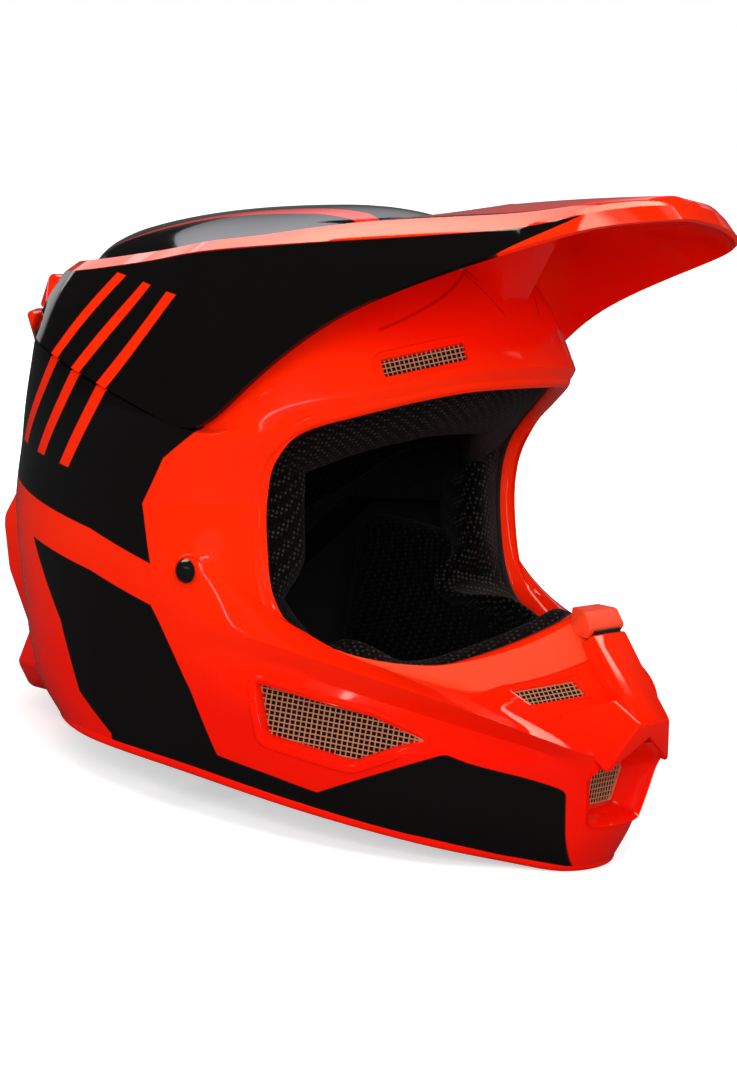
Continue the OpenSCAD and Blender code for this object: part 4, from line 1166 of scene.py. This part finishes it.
def strap_bm(end, side):
    """Band from a rivet down and across below the chin to y = end."""
    path = [Vector((y, z, 0)) for y, z in STRAP + [(end, 9)]]
    last = len(path) - 1

    def place(i, j):
        s = i / STRAP_STEPS * last
        p = free_along(path, s)
        d = (free_along(path, min(s + 0.05, last)) - free_along(path, max(s - 0.05, 0))).normalized()
        wide, thick = WEB[j % len(WEB)]
        return Vector((RIVET_X + wide, side * (p.x - d.y * thick), p.y + d.x * thick))
    return closed(grid(STRAP_STEPS, len(WEB), place))


RING_BAR_Y, RING_BAR_LOW, RING_BAR_HIGH = 50, 9, 15
STRAP_LOOP_STEPS = 40
STRAP_LOOP = [(-11, 2.45), (11, 2.45), (11, 3.55), (-11, 3.55)]


def loop_bm():
    """Band of webbing round the two ring bars."""
    def place(i, j):
        a = math.tau * (i % STRAP_LOOP_STEPS) / STRAP_LOOP_STEPS
        wide, out = STRAP_LOOP[j % len(STRAP_LOOP)]
        y, z = math.sin(a) * out, math.cos(a) * out
        bar = RING_BAR_HIGH if z > 0 else RING_BAR_LOW
        return Vector((RIVET_X + wide, RING_BAR_Y + y, bar + z))
    return grid(STRAP_LOOP_STEPS, len(STRAP_LOOP), place)


piece("strap_long", strap_bm(-8, -1), strap_web, stands_for=["strap_long"], sharp=60)
piece("strap_short", joined(strap_bm(53.6, 1), loop_bm()), strap_web,
      stands_for=["strap_short"], sharp=60)

# Metal pieces keep their CAD shape
for node, look in (("strap_rivets", rivet_black), ("rivet_washers", ring_steel),
                   ("visor_magnets", ring_steel), ("magnet_plates", ring_steel),
                   ("ring_upper", ring_steel), ("ring_lower", ring_steel)):
    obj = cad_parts[node]
    obj.data.materials.clear()
    obj.data.materials.append(look)

# Floor: white to the camera but for the helmet's shade, and dark to glossy surfaces
FLOOR_HALF = 4.0
bm = bmesh.new()
bmesh.ops.create_grid(bm, x_segments=1, y_segments=1, size=FLOOR_HALF)
floor_mesh = bpy.data.meshes.new("floor")
bm.to_mesh(floor_mesh)
bm.free()
floor = bpy.data.objects.new("floor", floor_mesh)
scene.collection.objects.link(floor)
floor_look = bpy.data.materials.new("floor_white")
start = bare(floor_look)
seen = start.node("LightPath", out="Is Camera Ray")
mirrored_tone = seen.other("Is Glossy Ray").colours((0.42, 0.42, 0.42), (0.05, 0.05, 0.05))
pale = start.node("BsdfDiffuse", {}, {"Color": seen.colours(mirrored_tone, (0.8, 0.8, 0.8))})
place = start.node("TexCoord", out="Object")
far = place.node("VectorMath", {"operation": "LENGTH"}, {0: place}, out="Value")
spread = (far * 1.4 - 0.35).clamped().colours((0.52, 0.52, 0.52), (1, 1, 1))
shine = start.node("Emission", {}, {"Color": spread, "Strength": 1.0})
lit = start.node("AddShader", {}, {0: pale, 1: shine})
both = start.node("MixShader", {}, {0: seen, 1: pale, 2: lit})
start.node("OutputMaterial", {}, {"Surface": both})
floor_mesh.materials.append(floor_look)

# World: white to the camera, grey light, and to glossy surfaces a dark room with two softboxes,
# a backdrop and a card. px and py say where a direction meets a plane one unit above the helmet.
world = bpy.data.worlds.new("studio")
scene.world = world
start = bare(world)
camera_ray = start.node("LightPath", out="Is Camera Ray")
clear = camera_ray + camera_ray.other("Is Transmission Ray")
shiny = camera_ray.other("Is Glossy Ray")
way = start.node("TexCoord", out="Generated")
parts = way.node("SeparateXYZ", {}, {"Vector": way})
dx, dy, dz = [parts.other(k) for k in range(3)]
over = dz.above(0.05)
px, py = dx / over, dy / over
right_end = -0.3 - (py - 0.75).above(0.0).below(0.5) * 1.8
softbox = (px + py * 0.605 + 1.6).below(right_end - px, py + 0.25, dz - 0.1)
bridge = (px + 0.4).below(0.1 - px, py - 0.17, 0.62 - py)
softbox = softbox.above(bridge).mask(0.015)
front_box = (px - 0.02).below(0.9 - px, py - 0.45, 1.25 - py, dz - 0.1).mask(0.015)
front_tone = (px - 0.7).mask(0.08).colours((6.5, 6.0, 4.6), (0.8, 0.75, 0.6))
fall = ((py + 0.1).above(0.0) * 1.9) ** 1.5 + 1
warmth = ((1 - py) * 1.6).clamped().colours((0.97, 0.97, 1.03), (1.0, 0.94, 0.76))
panel = start.node("VectorMath", {"operation": "SCALE"}, {0: warmth, "Scale": fall ** -1.0 * 8.5})
backdrop = (dy * 0.83 - dx * 0.55 - 0.97).below(0.3 - dz).mask(0.02)
rear_card = (dy * 0.49 - dx * 0.87 - dz * 0.06 - 0.985).mask(0.006)
reflected = backdrop.colours((0.02, 0.02, 0.02), (0.13, 0.13, 0.13))
reflected = rear_card.colours(reflected, (0.7, 0.7, 0.72))
reflected = front_box.colours(softbox.colours(reflected, panel), front_tone)
tone = clear.clamped().colours(shiny.colours((0.36, 0.36, 0.36), reflected), (1, 1, 1))
glow = start.node("Background", {}, {"Color": tone, "Strength": 1.0})
start.node("OutputWorld", {}, {"Surface": glow})


def lamp(name, place, aim, size, power, glints=True):
    """A rectangular lamp aimed at a point, in metres; without glints, gloss doesn't mirror it."""
    data = bpy.data.lights.new(name, "AREA")
    data.shape = "RECTANGLE"
    data.size, data.size_y = size
    data.energy = power
    obj = bpy.data.objects.new(name, data)
    obj.location = place
    obj.rotation_euler = (Vector(aim) - Vector(place)).to_track_quat("-Z", "Y").to_euler()
    obj.visible_glossy = glints
    scene.collection.objects.link(obj)
    return obj


lamp("overhead", (0.1, -0.3, 1.6), (0, 0, 0.15), (1.4, 1.4), 15, glints=False)
lamp("fill", (1.1, -1.9, 0.95), (0.05, 0, 0.15), (1.2, 0.9), 28, glints=False)
lamp("side_strip", (0.4, -1.9, 1.1), (0, 0, 0.15), (1.6, 0.025), 2.2)
lamp("front_strip", (2.0, 0.1, 0.7), (0.1, 0, 0.12), (0.025, 1.2), 1.8)
lamp("front_low", (1.7, -0.5, 0.16), (0.15, -0.02, 0.06), (0.6, 0.25), 3.5, glints=False)
lamp("far_side", (0.6, 1.8, 0.9), (0, 0, 0.12), (1.0, 0.8), 14, glints=False)
lamp("rear_side", (-1.7, -1.1, 0.7), (-0.1, 0, 0.12), (1.0, 0.8), 8, glints=False)

# A card that lights only the visor, along its edge
edge_card = lamp("edge_card", (-1.63, 1.08, 0.70), (-0.07, -0.08, 0.24), (0.75, 0.6), 1.5)
visor_only = bpy.data.collections.new("visor_only")
visor_only.objects.link(visor)
edge_card.data.color = (1.0, 0.95, 0.85)
edge_card.light_linking.receiver_collection = visor_only

# Camera, by its directions backwards and to the right
back = Vector((0.550, -0.817, 0.173)).normalized()
right = Vector((0.8055, 0.5736, 0.1493))
right = (right - back * right.dot(back)).normalized()
up = back.cross(right)
camera_data = bpy.data.cameras.new("camera")
camera_data.sensor_fit = "VERTICAL"
camera_data.sensor_height = 36
camera_data.lens = 121.5
camera = bpy.data.objects.new("camera", camera_data)
turn = Matrix((right, up, back)).transposed().to_4x4()
camera.matrix_world = Matrix.Translation((0.945, -1.383, 0.414)) @ turn
scene.collection.objects.link(camera)
scene.camera = camera
